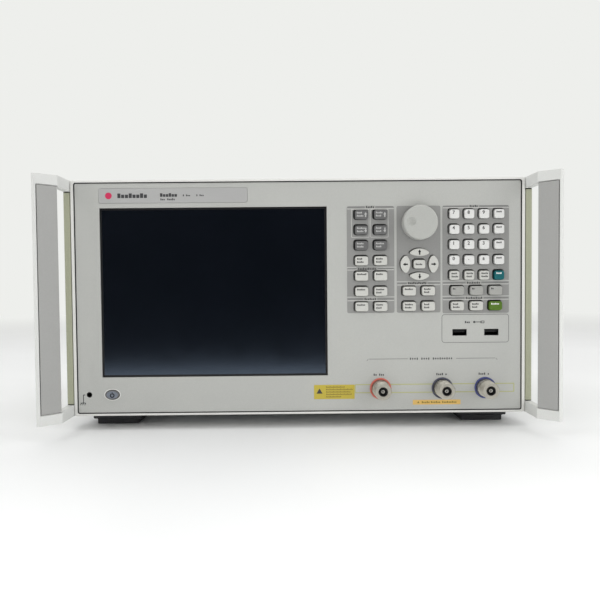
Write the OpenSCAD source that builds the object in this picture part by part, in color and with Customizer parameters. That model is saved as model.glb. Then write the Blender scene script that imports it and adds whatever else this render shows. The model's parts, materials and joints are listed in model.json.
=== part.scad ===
// Bench vector network analyzer in a 5U cabinet: a colour display, a keypad with a tuning knob,
// three type N test ports, two bow handles and four feet.
// X runs to the right, Y runs from the front to the back, Z runs up from the table.

/* [Cabinet] */
// Width of the cabinet without its handles
body_w = 426; // [415:1:440]
// Height of the cabinet without its feet
body_h = 221.5; // [221.5:0.5:240]
// Depth from the front frame's face to the rear panel's face
body_d = 277; // [270:1:420]
// Depth of the cast front frame
frame_d = 33; // [30:1:36]
// Width of the front frame's rim beside the panel
rim_w = 3.3; // [2.5:0.1:4]
// Width of the front frame's rim above and below the panel
rim_h = 2.3; // [2:0.1:4]
// Thickness of the sheet metal cover
cover_t = 1.2; // [1:0.1:1.5]
// Height of the feet under the cabinet
foot_h = 13.5; // [12:0.5:20]
// How far the rear bumpers stand out of the rear panel
bumper_d = 14; // [12:1:30]

/* [Front panel] */
// Thickness of the front panel
panel_t = 2.5; // [2:0.1:3]
// Gap between the front panel and the rim
seam_w = 0.8; // [0.5:0.1:1.2]
// How far the front panel's face lies behind the rim's face
panel_set = 0.5; // [0:0.1:0.5]
// Width of the display opening
display_w = 212.7; // [200:0.1:213]
// Height of the display opening
display_h = 159; // [150:0.1:160]

/* [Keys] */
// How far a key's face stands out of the panel
key_rise = 2.8; // [2:0.1:4]
// How far a key travels when it is pressed
key_travel = 1.5; // [0.8:0.1:1.5]
// Gap between a key and the edge of its hole
key_gap = 0.7; // [0.4:0.05:0.7]
// Corner radius of a key
key_r = 1.6; // [1:0.1:2]
// Width of a key in the left, centre and lower blocks
wide_key_w = 12; // [10:0.1:12.5]
// Width of a key in the number block
entry_key_w = 9; // [8:0.1:9.2]
// Height of a key
key_face_h = 8.4; // [7:0.1:8.6]
// Distance between two rows of keys
row_pitch = 14.35; // [14:0.05:14.5]
// Distance between two columns of wide keys
wide_pitch = 17.9; // [17:0.1:18]
// Distance between two columns of the number block
entry_pitch = 14; // [13.8:0.1:14.2]

/* [Knob and power button] */
// Radius of the tuning knob
knob_r = 16; // [14:0.5:17]
// How far the knob's face stands out of the rim
knob_rise = 11; // [9:0.5:14]
// Half width of the elliptical power button
power_a = 6.6; // [5:0.1:7]
// Half height of the elliptical power button
power_b = 4.3; // [3.5:0.1:4.6]
// Travel of the power button
power_travel = 1.8; // [1:0.1:2]

/* [Test ports] */
// Radius over the thread of a type N connector
port_r = 7.94; // [7.9:0.01:7.94]
// Radius of a type N connector's open front
port_bore_r = 4.3; // [4:0.05:4.4]
// How far a test port stands out of the panel
port_rise = 18.5; // [14:0.5:22]
// Radius of the bore of the ground jack
jack_r = 2; // [1.95:0.01:2.05]

/* [Handles] */
// How far the handles stand out in front of the rim
handle_reach = 41; // [38:0.5:44]
// Thickness of a handle's side flange
flange_t = 6.6; // [6:0.1:7]
// Height of a handle's upper and lower arm
arm_h = 10.5; // [9:0.5:13]
// Length of the finger gap from front to back
finger_gap = 29.5; // [28:0.5:31]

/* [Hidden] */
$fn = 48;

// Places along Y
front_y = handle_reach - (handle_reach + body_d + bumper_d) / 2;
panel_y = front_y + panel_set;
panel_back = panel_y + panel_t;
frame_back = front_y + frame_d;
rear_y = front_y + body_d;
rear_t = 1.5;

// Places along X and Z
top_z = foot_h + body_h;
mid_z = foot_h + body_h / 2;
side_x = body_w / 2;
cover_in_x = side_x - cover_t;

// Front frame and panel
ledge_y = panel_back;
ledge_t = 3;
ledge_w = 5;
frame_r = 3;
opening_w = body_w - 2 * rim_w;
opening_h = body_h - 2 * rim_h;
panel_w = opening_w - 2 * seam_w;
panel_h = opening_h - 2 * seam_w;

// Display
display_x = -186.1 + display_w / 2;
display_z = 208.9 - display_h / 2;
window_lip = 3;
window_fit = 0.2;
window_set = 1;
window_t = 1.5;
lcd_w = 236;
lcd_h = 178;
lcd_t = 12;
lcd_y = panel_back + window_t;

// Keypad columns and rows
key_top_z = 200.6;
left_x = 58.9;
centre_x = 103.6;
entry_x = 145.9;
lower_x = 148.7;
lip_w = 1.5;
key_lip_t = 1;
lip_gap = 0.3;
board_t = 1.6;
pad_t = 0.2;
board_y = panel_back + lip_gap + key_lip_t + key_travel + lip_gap + pad_t;
board_x0 = 43;
board_x1 = 200;
board_z0 = 106;
board_z1 = 211;

// Cursor keys around the enter key
cursor_x = 113.1;
cursor_z = 154;
cursor_reach_z = 11.2;
cursor_reach_x = 13.25;
petal_w = 19.3;
petal_h = 7.2;
side_petal_w = 17.3;
side_petal_h = 9;
petal_crown = 4.4;
enter_w = 10.7;
enter_h = 8;

// Knob and encoder
knob_x = 112.6;
knob_z = 192.5;
knob_gap = 0.8;
knob_wall = 2;
shaft_r = 3;
shaft_clearance = 0.05;
bushing_r = 4.5;
encoder_w = 14;
encoder_t = 12;

// Sockets, jack and button on the lower part of the panel
power_x = -176.75;
power_z = 33.6;
jack_x = -198.5;
jack_z = 33.7;
usb_x = [151.2, 181.2];
usb_z = 89.5;
usb_w = 13.2;
usb_h = 5.8;
usb_wall = 0.35;
usb_depth = 14;
port_x = [76.3, 134.8, 175.3];
port_z = 37;
port_thread = 13;
port_shoulder_r = 8.2;
port_body_end = front_y + 18;
port_tail_end = 27;
ring_in_r = 8.5;
ring_out_r = 10.1;
ring_t = 0.8;

// Nameplate
plate_x0 = -186.3;
plate_x1 = -47.5;
plate_z0 = 213.4;
plate_z1 = 227.1;
plate_r = 2;
plate_proud = 0.3;
plate_sink = 0.6;

// Handles, as a plan outline with forward distances from the rim's face
kink_f = 27.5;
outer_kink_f = 24.5;
handle_x = side_x + 18;
lip_in_x = side_x + 15;
kink_in_x = side_x + 0.3;
flange_x = side_x + flange_t;
trim_t = 3;
trim_r = 2;
insert_t = 1.2;
insert_fit = 0.15;
insert_start = 0.6;
insert_end_margin = 0.9;
insert_over = 1.3;
insert_angle = atan2(handle_reach - kink_f, lip_in_x - kink_in_x);
insert_face = norm([lip_in_x - kink_in_x, handle_reach - kink_f]);

// Screws
screw_r = 2.45;
screw_hole_r = 2.5;
screw_free_r = 2.7;
screw_head_r = 4.3;
screw_head_t = 3;
sink_r = 4.7;
screw_len = 7;
handle_screw_z = [60, 188.5];
handle_screw_y = front_y + 20;

// Feet and bumpers
foot_w = 48;
foot_l = 40;
foot_x = side_x - 33.4;
foot_step = 3.7;
foot_step_h = 5.5;
front_foot_y = front_y + 25;
rear_foot_y = rear_y - 30 - foot_l;
bumper_w = 30;
bumper_screw_in = 14;
screw_seat = 4;

// Inside
pan_t = 1.5;
bulkhead_y = front_y + 58;
fan_w = 80;
fan_t = 25;
fan_x = -140;
fan_z = 128;
fan_hole_r = 38;
fan_hub_r = 17;
fan_shaft_r = 1.5;
fan_blade_r = 36.8;
fan_blades = 7;
fan_base_t = 3;
inlet_x = 150;
inlet_z = 58;
inlet_w = 24.4;
inlet_h = 16.6;
inlet_d = 16;
inlet_wall = 1.8;
inlet_flange_t = 2;
bnc_x = [-60, -30, 0, 30];
bnc_z = 200;
bnc_r = 4.8;
bnc_rise = 12;
bnc_bore_r = 4;
bnc_core_r = 2.3;
lan_x = 20;
lan_z = 60;
lan_w = 16;
lan_h = 13.6;
lan_open_w = 12;
lan_open_h = 8;
handler_x = -40;
handler_z = 95;
handler_w = 62;
handler_h = 12;
video_x = 70;
video_z = 60;
video_w = 31;
video_h = 12.5;

// ---------- helpers ----------

// Rectangle with rounded corners, centred
module rounded(w, h, r) {
    square([w - 2 * r, h], center = true);
    square([w, h - 2 * r], center = true);
    for (sx = [-1, 1], sz = [-1, 1]) translate([sx * (w / 2 - r), sz * (h / 2 - r)]) circle(r);
}

// Stands a flat outline up in the XZ plane at depth y0 and gives it thickness t to the back
module upright(y0, t) {
    translate([0, y0 + t, 0]) rotate([90, 0, 0]) linear_extrude(t) children();
}

// Cylinder along +Y from y0
module rod(y0, length, r) {
    translate([0, y0, 0]) rotate([-90, 0, 0]) cylinder(h = length, r = r);
}

// Box from its lower corner to its upper corner
module block(low, high) {
    translate(low) cube(high - low);
}

// Ellipse with half width a and half height b
module ellipse(a, b) {
    steps = 48;
    polygon([for (i = [0:steps - 1]) [a * cos(i * 360 / steps), b * sin(i * 360 / steps)]]);
}

// Cursor key outline, arched on its upper side by crown and flatter below
module petal(w, h, crown) {
    low = h - crown;
    r_top = (w * w / 4 + crown * crown) / (2 * crown);
    r_low = (w * w / 4 + low * low) / (2 * low);
    intersection() {
        translate([0, low - h / 2 + crown - r_top]) circle(r_top, $fn = 96);
        translate([0, r_low - h / 2]) circle(r_low, $fn = 96);
        square([w - 1.6, h], center = true);
    }
}

// One key: a cap through the panel and a lip behind it that keeps it in
module key_solid() {
    upright(panel_y - key_rise, key_rise + panel_t + lip_gap) children(0);
    upright(panel_back + lip_gap, key_lip_t) children(1);
}

module square_key(x, z, w) {
    translate([x, 0, z]) key_solid() {
        rounded(w, key_face_h, key_r);
        rounded(w + 2 * lip_w, key_face_h + 2 * lip_w, key_r);
    }
}

module key_hole(w) {
    rounded(w + 2 * key_gap, key_face_h + 2 * key_gap, key_r + key_gap);
}

// Height of a key row, counted down from the top
function row_z(row) = key_top_z - row * row_pitch;

module entry_key(column, row) {
    square_key(entry_x + column * entry_pitch, row_z(row), entry_key_w);
}

module wide_keys(x, columns, rows) {
    for (c = columns, r = rows) square_key(x + c * wide_pitch, row_z(r), wide_key_w);
}

// Cursor keys: the flat outline of one of the four, grown by extra
module cursor_outline(side, extra) {
    if (side % 2 == 0) petal(petal_w + 2.4 * extra, petal_h + 2 * extra, petal_crown + extra);
    else petal(side_petal_w + 2.4 * extra, side_petal_h + 2 * extra, petal_crown + 0.9 + extra);
}

module cursor_place(side) {
    reach = side % 2 == 0 ? cursor_reach_z : cursor_reach_x;
    translate([cursor_x, 0, cursor_z]) rotate([0, side * 90, 0]) translate([0, 0, reach]) children();
}

module cursor_key(side) {
    cursor_place(side) key_solid() {
        cursor_outline(side, 0);
        cursor_outline(side, 0.9);
    }
}

// Holes for every key, drawn through the panel
module key_cuts(y0, t) {
    for (c = [0, 1], r = [0:6])
        translate([left_x + c * wide_pitch, 0, row_z(r)]) upright(y0, t) key_hole(wide_key_w);
    for (c = [0, 1], r = [5, 6])
        translate([centre_x + c * wide_pitch, 0, row_z(r)]) upright(y0, t) key_hole(wide_key_w);
    for (c = [0:3], r = [0:4])
        translate([entry_x + c * entry_pitch, 0, row_z(r)]) upright(y0, t) key_hole(entry_key_w);
    for (c = [0:2], r = [5, 6])
        translate([lower_x + c * wide_pitch, 0, row_z(r)]) upright(y0, t) key_hole(wide_key_w);
    for (side = [0:3])
        cursor_place(side) upright(y0, t) cursor_outline(side, 0.5);
    translate([cursor_x, 0, cursor_z]) upright(y0, t)
        rounded(enter_w + 2 * key_gap, enter_h + 2 * key_gap, key_r + key_gap);
}

// ---------- cabinet ----------

module front_frame() {
    color([0.86, 0.86, 0.84]) difference() {
        translate([0, 0, mid_z]) upright(front_y, frame_d) rounded(body_w, body_h, frame_r);
        translate([0, 0, mid_z]) upright(front_y - 1, ledge_y - front_y + 1)
            rounded(opening_w, opening_h, 2);
        translate([0, 0, mid_z]) upright(ledge_y - 1, ledge_t + 2)
            rounded(opening_w - 2 * ledge_w, opening_h - 2 * ledge_w, 2);
        translate([0, 0, mid_z]) upright(ledge_y + ledge_t, frame_d)
            rounded(opening_w, opening_h, 2);
        for (s = [-1, 1], z = handle_screw_z)
            translate([s * (side_x - rim_w / 2), handle_screw_y, z]) rotate([0, 90, 0])
                cylinder(h = rim_w + 2, r = screw_hole_r, center = true);
    }
}

module front_panel() {
    color([0.73, 0.73, 0.71]) difference() {
        translate([0, 0, mid_z]) upright(panel_y, panel_t) rounded(panel_w, panel_h, 1.5);
        translate([display_x, panel_y + panel_t / 2, display_z])
            cube([display_w, panel_t + 2, display_h], center = true);
        translate([(plate_x0 + plate_x1) / 2, 0, (plate_z0 + plate_z1) / 2])
            upright(panel_y - 1, 1 + plate_sink)
            rounded(plate_x1 - plate_x0 + 0.3, plate_z1 - plate_z0 + 0.3, plate_r);
        key_cuts(panel_y - 1, panel_t + 2);
        translate([knob_x, 0, knob_z]) rod(panel_y - 1, panel_t + 2, bushing_r + 0.2);
        translate([power_x, 0, power_z]) upright(panel_y - 1, panel_t + 2)
            ellipse(power_a + 0.4, power_b + 0.4);
        translate([jack_x, 0, jack_z]) rod(panel_y - 1, panel_t + 2, jack_r);
        for (x = usb_x)
            translate([x, 0, usb_z]) upright(panel_y - 1, panel_t + 2)
                square([usb_w + 0.3, usb_h + 0.3], center = true);
        for (x = port_x) translate([x, 0, port_z]) rod(panel_y - 1, panel_t + 2, port_shoulder_r + 0.1);
    }
}

module nameplate() {
    color([0.76, 0.76, 0.74]) translate([(plate_x0 + plate_x1) / 2, 0, (plate_z0 + plate_z1) / 2])
        upright(panel_y - plate_proud, plate_proud + plate_sink)
        rounded(plate_x1 - plate_x0, plate_z1 - plate_z0, plate_r);
}

module display_window() {
    color([0.06, 0.07, 0.1]) translate([display_x, 0, display_z]) {
        upright(panel_y + window_set, panel_t - window_set)
            square([display_w - 2 * window_fit, display_h - 2 * window_fit], center = true);
        upright(panel_back, window_t)
            square([display_w + 2 * window_lip, display_h + 2 * window_lip], center = true);
    }
}

module lcd_module() {
    ear_y = ledge_y + ledge_t;
    color([0.6, 0.62, 0.64]) translate([display_x, 0, display_z]) {
        upright(lcd_y, lcd_t) rounded(lcd_w, lcd_h, 1.5);
        for (s = [-1, 1])
            block([-lcd_w / 2 - 9, ear_y, s * 60 - 8], [-lcd_w / 2 + 1, ear_y + 1.5, s * 60 + 8]);
        block([-90, lcd_y + lcd_t, -70], [90, lcd_y + lcd_t + 4, -30]);
    }
}

module cover() {
    slot_l = 34;
    slot_h = 3;
    slot_rows = 9;
    color([0.68, 0.68, 0.62]) difference() {
        translate([0, 0, mid_z]) upright(frame_back, body_d - frame_d) rounded(body_w, body_h, frame_r);
        translate([0, 0, mid_z - cover_t]) upright(frame_back - 1, body_d - frame_d + 2)
            rounded(body_w - 2 * cover_t, body_h, frame_r - cover_t);
        block([-side_x - 1, frame_back - 1, foot_h - 1],
              [side_x + 1, rear_y + 1, foot_h + frame_r]);
        for (s = [-1, 1], c = [0:2], r = [0:slot_rows - 1])
            translate([s * side_x, frame_back + 60 + c * 46, mid_z - 36 + r * 9])
                cube([4 * cover_t, slot_l, slot_h], center = true);
    }
}

module chassis() {
    bottom_x = cover_in_x - 0.2;
    flange_h = 40;
    pan_back = rear_y - rear_t;
    color([0.78, 0.79, 0.8]) difference() {
        union() {
            block([-bottom_x, frame_back, foot_h], [bottom_x, pan_back, foot_h + pan_t]);
            for (m = [0, 1]) mirror([m, 0, 0])
                block([bottom_x - pan_t, frame_back, foot_h], [bottom_x, pan_back, foot_h + flange_h]);
            block([-bottom_x, bulkhead_y, foot_h], [bottom_x, bulkhead_y + pan_t, top_z - 4]);
        }
        block([-40, bulkhead_y - 1, 150], [40, bulkhead_y + pan_t + 1, 190]);
        for (x = [-120, 60], i = [0:9])
            translate([x + i * 7, frame_back + 70, foot_h - 1]) cube([3, 40, 4]);
    }
}

module rear_panel() {
    color([0.72, 0.73, 0.73]) difference() {
        block([0.3 - cover_in_x, rear_y - rear_t, foot_h],
              [cover_in_x - 0.3, rear_y, top_z - cover_t - 0.3]);
        translate([inlet_x, 0, inlet_z]) upright(rear_y - rear_t - 1, rear_t + 2)
            square([inlet_w + 2 * inlet_wall + 0.4, inlet_h + 2 * inlet_wall + 0.4], center = true);
        for (x = bnc_x) translate([x, 0, bnc_z]) rod(rear_y - rear_t - 1, rear_t + 2, bnc_r + 0.1);
        translate([lan_x, 0, lan_z]) upright(rear_y - rear_t - 1, rear_t + 2)
            square([lan_w + 0.4, lan_h + 0.4], center = true);
        translate([handler_x, 0, handler_z]) upright(rear_y - rear_t - 1, rear_t + 2)
            square([handler_w + 0.4, handler_h + 0.4], center = true);
        translate([video_x, 0, video_z]) upright(rear_y - rear_t - 1, rear_t + 2)
            square([video_w + 0.4, video_h + 0.4], center = true);
        for (i = [-5:5]) {
            reach = sqrt(pow(fan_hole_r - 2, 2) - pow(i * 6.5, 2));
            translate([fan_x + i * 6.5, rear_y, fan_z])
                cube([3.5, 4 * rear_t, 2 * reach], center = true);
        }
        for (sx = [-1, 1], z = [foot_h + bumper_screw_in, top_z - bumper_screw_in])
            translate([sx * (side_x - bumper_screw_in), 0, z])
                rod(rear_y - rear_t - 1, rear_t + 2, screw_hole_r);
    }
}

// ---------- handles ----------

// Plan outline of the right handle: X to the right, Y to the back
module handle_plan() {
    polygon([
        [side_x, frame_back], [side_x, front_y + 1], [side_x + 0.5, front_y],
        [kink_in_x, front_y - kink_f + 1], [kink_in_x, front_y - kink_f],
        [lip_in_x, front_y - handle_reach], [handle_x, front_y - handle_reach],
        [handle_x, front_y - handle_reach + 2], [flange_x, front_y - outer_kink_f],
        [flange_x, frame_back]
    ]);
}

// Puts children along the slanted inner face of the grip: X runs outwards along the face, Y into the metal
module on_grip_face() {
    translate([kink_in_x, front_y - kink_f, 0]) rotate([0, 0, -insert_angle]) children();
}

module right_handle() {
    difference() {
        translate([0, 0, foot_h]) linear_extrude(body_h) handle_plan();
        block([side_x - 5, front_y - finger_gap, foot_h + arm_h],
              [handle_x + 5, front_y + trim_t, top_z - arm_h]);
        on_grip_face() translate([0, -1, foot_h + arm_h - insert_over])
            cube([insert_face - insert_end_margin, insert_t + 1, body_h - 2 * arm_h + 2 * insert_over]);
        for (z = handle_screw_z) translate([flange_x, handle_screw_y, z]) rotate([0, -90, 0]) {
            translate([0, 0, -1]) cylinder(h = flange_t + 2, r = screw_free_r);
            translate([0, 0, -1]) cylinder(h = screw_head_t + 1.2, r = sink_r);
        }
    }
}

module handle_left() {
    color([0.77, 0.77, 0.75]) mirror([1, 0, 0]) right_handle();
}

module handle_right() {
    color([0.77, 0.77, 0.75]) right_handle();
}

module handle_inserts() {
    length = body_h - 2 * arm_h + 2 * insert_over - 2 * insert_fit;
    color([0.66, 0.66, 0.65]) for (m = [0, 1]) mirror([m, 0, 0])
        on_grip_face() translate([insert_start, 0, foot_h + arm_h - insert_over + insert_fit])
            cube([insert_face - insert_end_margin - insert_start - insert_fit, insert_t, length]);
}

module handle_trims() {
    color([0.6, 0.61, 0.53]) for (m = [0, 1]) mirror([m, 0, 0])
        translate([0, 0, foot_h + arm_h + 0.3]) linear_extrude(body_h - 2 * arm_h - 0.6) {
            translate([side_x + 0.4, front_y]) square([flange_t - 0.4 - trim_r, trim_t]);
            translate([side_x + 0.4, front_y + trim_r]) square([flange_t - 0.4, trim_t - trim_r]);
            intersection() {
                translate([flange_x - trim_r, front_y + trim_r]) circle(trim_r);
                translate([flange_x - trim_r, front_y]) square([trim_r, trim_r]);
            }
        }
}

module cap_screw() {
    cylinder(h = screw_len + 1, r = screw_r);
    difference() {
        translate([0, 0, -screw_head_t]) cylinder(h = screw_head_t, r = screw_head_r);
        translate([0, 0, -screw_head_t - 1]) cylinder(h = 2.6, r = 1.9, $fn = 6);
    }
}

module screws() {
    color([0.55, 0.56, 0.58]) {
        for (s = [-1, 1], z = handle_screw_z)
            translate([s * (flange_x - screw_head_t - 0.2), handle_screw_y, z])
                rotate([0, -s * 90, 0]) cap_screw();
        for (sx = [-1, 1], z = [foot_h + bumper_screw_in, top_z - bumper_screw_in])
            translate([sx * (side_x - bumper_screw_in), rear_y + screw_seat, z])
                rotate([90, 0, 0]) cap_screw();
    }
}

// ---------- feet and bumpers ----------

module feet() {
    color([0.16, 0.16, 0.17]) for (m = [0, 1], y0 = [front_foot_y, rear_foot_y])
        mirror([m, 0, 0]) translate([foot_x - foot_w / 2, y0, 0]) {
            translate([0, 0, foot_step_h]) cube([foot_w, foot_l, foot_h - foot_step_h]);
            translate([foot_step, 1.5, 0])
                cube([foot_w - 2 * foot_step, foot_l - 3, foot_step_h]);
        }
}

module rear_bumpers() {
    color([0.2, 0.2, 0.21]) for (sx = [0, 1], sz = [0, 1])
        mirror([sx, 0, 0]) translate([0, 0, sz * 2 * mid_z]) mirror([0, 0, sz]) difference() {
            translate([side_x - bumper_w / 2, 0, foot_h + bumper_w / 2]) upright(rear_y, bumper_d)
                rounded(bumper_w, bumper_w, 5);
            translate([side_x - bumper_screw_in, 0, foot_h + bumper_screw_in]) {
                rod(rear_y - 1, bumper_d + 2, screw_free_r);
                rod(rear_y + screw_seat, bumper_d, sink_r + 1);
            }
        }
}

// ---------- front panel parts ----------

module keypad_board() {
    post_r = 2;
    color([0.13, 0.36, 0.24]) difference() {
        union() {
            block([board_x0, board_y, board_z0], [board_x1, board_y + board_t, board_z1]);
            for (x = [47.5, 89.8, 135.7, 197.5], z = [121.7, 193.4])
                translate([x, 0, z]) rod(panel_back, board_y - panel_back + 0.5, post_r);
            for (c = [0, 1], r = [0:6]) contact(left_x + c * wide_pitch, row_z(r));
            for (c = [0, 1], r = [5, 6]) contact(centre_x + c * wide_pitch, row_z(r));
            for (c = [0:3], r = [0:4]) contact(entry_x + c * entry_pitch, row_z(r));
            for (c = [0:2], r = [5, 6]) contact(lower_x + c * wide_pitch, row_z(r));
            for (sx = [-1, 1]) contact(cursor_x + sx * cursor_reach_x, cursor_z);
            for (sz = [-1, 0, 1]) contact(cursor_x, cursor_z + sz * cursor_reach_z);
        }
        translate([knob_x, 0, knob_z]) rod(board_y - 2, board_t + 4, bushing_r + 0.3);
    }
}

// Contact pad of one key on the board
module contact(x, z) {
    translate([x, 0, z]) rod(board_y - pad_t, pad_t + 0.2, 2.5);
}

module tuning_knob() {
    face_y = front_y - knob_rise;
    back_y = panel_y - knob_gap;
    color([0.78, 0.78, 0.75]) translate([knob_x, 0, knob_z]) difference() {
        union() {
            rod(face_y + 1, back_y - face_y - 1, knob_r);
            translate([0, face_y + 1, 0]) rotate([90, 0, 0])
                cylinder(h = 1, r1 = knob_r, r2 = knob_r - 1);
        }
        difference() {
            rod(face_y + knob_wall + 1.5, knob_rise + 3, knob_r - knob_wall);
            rod(face_y + knob_wall, knob_rise - knob_wall - 5, shaft_r + 2);
        }
        rod(face_y + knob_wall, knob_rise + 3, shaft_r);
        translate([-7.6, face_y - 6.1, 0]) sphere(7.6, $fn = 64);
    }
}

module encoder_shaft() {
    start_y = front_y - knob_rise + knob_wall;
    color([0.8, 0.8, 0.8]) translate([knob_x, 0, knob_z])
        rod(start_y, board_y + board_t + 8 - start_y, shaft_r);
}

module encoder_body() {
    bushing_y = panel_y - 4;
    body_y = board_y + board_t;
    color([0.35, 0.36, 0.38]) translate([knob_x, 0, knob_z]) difference() {
        union() {
            rod(bushing_y, body_y - bushing_y + 1, bushing_r);
            translate([0, body_y + encoder_t / 2, 0])
                cube([encoder_w, encoder_t, encoder_w], center = true);
            translate([0, panel_y - 2, 0]) rotate([-90, 0, 0]) cylinder(h = 2, r = 6.6, $fn = 6);
        }
        rod(bushing_y - 1, body_y - bushing_y + 10, shaft_r + shaft_clearance);
    }
}

module power_button() {
    color([0.45, 0.49, 0.55]) translate([power_x, 0, power_z]) {
        upright(panel_y - 1.2, 1.2 + panel_t + lip_gap) ellipse(power_a, power_b);
        upright(panel_back + lip_gap, 1.2) rounded(2 * power_a + 3, 2 * power_b + 3, 2);
        rod(panel_back + lip_gap + 1, power_travel + 1.2, 1.5);
    }
}

module ground_jack() {
    jack_d = 14;
    color([0.25, 0.25, 0.26]) translate([jack_x, 0, jack_z]) difference() {
        union() {
            rod(panel_back, jack_d, 3.6);
            rod(panel_back + ledge_t + 1, 2, 4.4);
        }
        rod(panel_back - 1, jack_d - 1, jack_r);
    }
}

module usb_sockets() {
    tongue_h = 1.8;
    color([0.2, 0.2, 0.22]) for (x = usb_x) translate([x, 0, usb_z]) {
        difference() {
            upright(panel_y + 0.2, usb_depth) square([usb_w, usb_h], center = true);
            upright(panel_y - 1, usb_depth)
                square([usb_w - 2 * usb_wall, usb_h - 2 * usb_wall], center = true);
        }
        translate([0, 0, usb_h / 2 - usb_wall - 0.7 - tongue_h / 2])
            upright(panel_y + 2, usb_depth - 2.5) square([11.1, tongue_h], center = true);
    }
}

// Type N socket: threaded barrel, panel flange, centre contact and a cable tail behind
module n_connector(x) {
    front = panel_y - port_rise;
    color([0.78, 0.77, 0.73]) translate([x, 0, port_z]) {
        difference() {
            union() {
                rod(front, port_thread, port_r);
                rod(front + port_thread, port_body_end - front - port_thread, port_shoulder_r);
                upright(panel_back, 1.6) rounded(25.4, 25.4, 2);
                rod(port_body_end - 1, front_y + port_tail_end - port_body_end + 1, 3.2);
            }
            rod(front - 1, 11, port_bore_r);
        }
        difference() {
            rod(front + 1, 10, 1.6);
            rod(front, 4, 0.85);
        }
    }
}

module rf_out_connector() {
    n_connector(port_x[0]);
}

module port_1_connector() {
    n_connector(port_x[1]);
}

module port_2_connector() {
    n_connector(port_x[2]);
}

module port_rings() {
    color([0.45, 0.42, 0.55]) for (x = port_x) translate([x, 0, port_z]) difference() {
        rod(panel_y - ring_t, ring_t, ring_out_r);
        rod(panel_y - ring_t - 1, ring_t + 2, ring_in_r);
    }
}

// ---------- keys ----------

white_key = [0.86, 0.86, 0.84];
light_key = [0.77, 0.77, 0.74];

module key_7() color(white_key) entry_key(0, 0);
module key_8() color(white_key) entry_key(1, 0);
module key_9() color(white_key) entry_key(2, 0);
module key_4() color(white_key) entry_key(0, 1);
module key_5() color(white_key) entry_key(1, 1);
module key_6() color(white_key) entry_key(2, 1);
module key_1() color(white_key) entry_key(0, 2);
module key_2() color(white_key) entry_key(1, 2);
module key_3() color(white_key) entry_key(2, 2);
module key_0() color(white_key) entry_key(0, 3);
module key_point() color(white_key) entry_key(1, 3);
module key_sign() color(white_key) entry_key(2, 3);
module key_help() color([0.04, 0.42, 0.43]) entry_key(3, 4);
module key_up() color(light_key) cursor_key(0);
module key_right() color(light_key) cursor_key(1);
module key_down() color(light_key) cursor_key(2);
module key_left() color(light_key) cursor_key(3);
module key_preset() color([0.33, 0.47, 0.16]) wide_keys(lower_x, [2], [6]);

module key_enter() {
    color(light_key) translate([cursor_x, 0, cursor_z]) key_solid() {
        rounded(enter_w, enter_h, key_r);
        rounded(enter_w + 2 * 0.9, enter_h + 2 * lip_w, key_r);
    }
}

module unit_keys() {
    color(white_key) for (r = [0:3]) entry_key(3, r);
}

module edit_keys() {
    color(light_key) for (c = [0:2]) entry_key(c, 4);
}

module function_keys() {
    color([0.64, 0.64, 0.64]) wide_keys(lower_x, [0:2], [5]);
}

module setup_keys() {
    color([0.37, 0.37, 0.37]) wide_keys(left_x, [0:1], [0:2]);
}

module measurement_keys() {
    color(light_key) wide_keys(left_x, [0:1], [3:5]);
}

module trigger_keys() {
    color(light_key) wide_keys(left_x, [0:1], [6]);
}

module calibration_keys() {
    color(light_key) wide_keys(centre_x, [0:1], [5:6]);
}

module state_keys() {
    color(light_key) wide_keys(lower_x, [0:1], [6]);
}

// ---------- inside and rear ----------

module power_supply() {
    low = [95, rear_y - 165, foot_h + pan_t];
    high = [205, rear_y - 35, foot_h + pan_t + 72];
    sheet = [1.2, 1.2, 1.2];
    color([0.72, 0.73, 0.74]) difference() {
        block(low, high);
        block(low + sheet, high - sheet);
        for (i = [0:8])
            translate([low[0] + 12 + i * 10, low[1] - 1, low[2] + 12]) cube([3, 4, 48]);
    }
}

module main_board() {
    z0 = foot_h + pan_t + 12;
    color([0.1, 0.33, 0.22]) {
        block([-195, bulkhead_y + 12, z0], [78, rear_y - 32, z0 + 1.6]);
        for (x = [-185, -50, 68], y = [bulkhead_y + 22, rear_y - 42])
            translate([x, y, foot_h + pan_t]) cylinder(h = 12.5, r = 3);
        block([-60, bulkhead_y + 60, z0], [-10, bulkhead_y + 110, z0 + 6]);
        for (i = [0:8])
            translate([-60, bulkhead_y + 60 + i * 5.9, z0 + 5]) cube([50, 2, 25]);
        for (i = [0:2]) block([10 + i * 12, bulkhead_y + 40, z0], [14 + i * 12, bulkhead_y + 130, z0 + 28]);
        block([-175, bulkhead_y + 25, z0], [-90, bulkhead_y + 70, z0 + 14]);
    }
}

module rf_module() {
    y0 = front_y + port_tail_end;
    y1 = bulkhead_y;
    color([0.75, 0.75, 0.72]) {
        block([58, y0 + 2, 20], [195, y1, 64]);
        block([62, y0, 24], [191, y0 + 3, 60]);
        for (x = [64, 96, 126, 157, 189], z = [23, 61])
            translate([x, 0, z]) rod(y0 + 1, 1.5, 1.6);
    }
}

module fan_housing() {
    back = rear_y - rear_t;
    color([0.12, 0.12, 0.13]) translate([fan_x, 0, fan_z]) {
        difference() {
            upright(back - fan_t, fan_t) rounded(fan_w, fan_w, 4);
            rod(back - fan_t - 1, fan_t + 2, fan_hole_r);
        }
        difference() {
            union() {
                rod(back - fan_base_t, fan_base_t, fan_hub_r);
                for (a = [30, 150, 270]) rotate([0, a, 0])
                    block([fan_hub_r - 2, back - fan_base_t, -2], [fan_hole_r + 1, back, 2]);
            }
            rod(back - fan_base_t - 1, fan_base_t + 2, fan_shaft_r + shaft_clearance);
        }
    }
}

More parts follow.
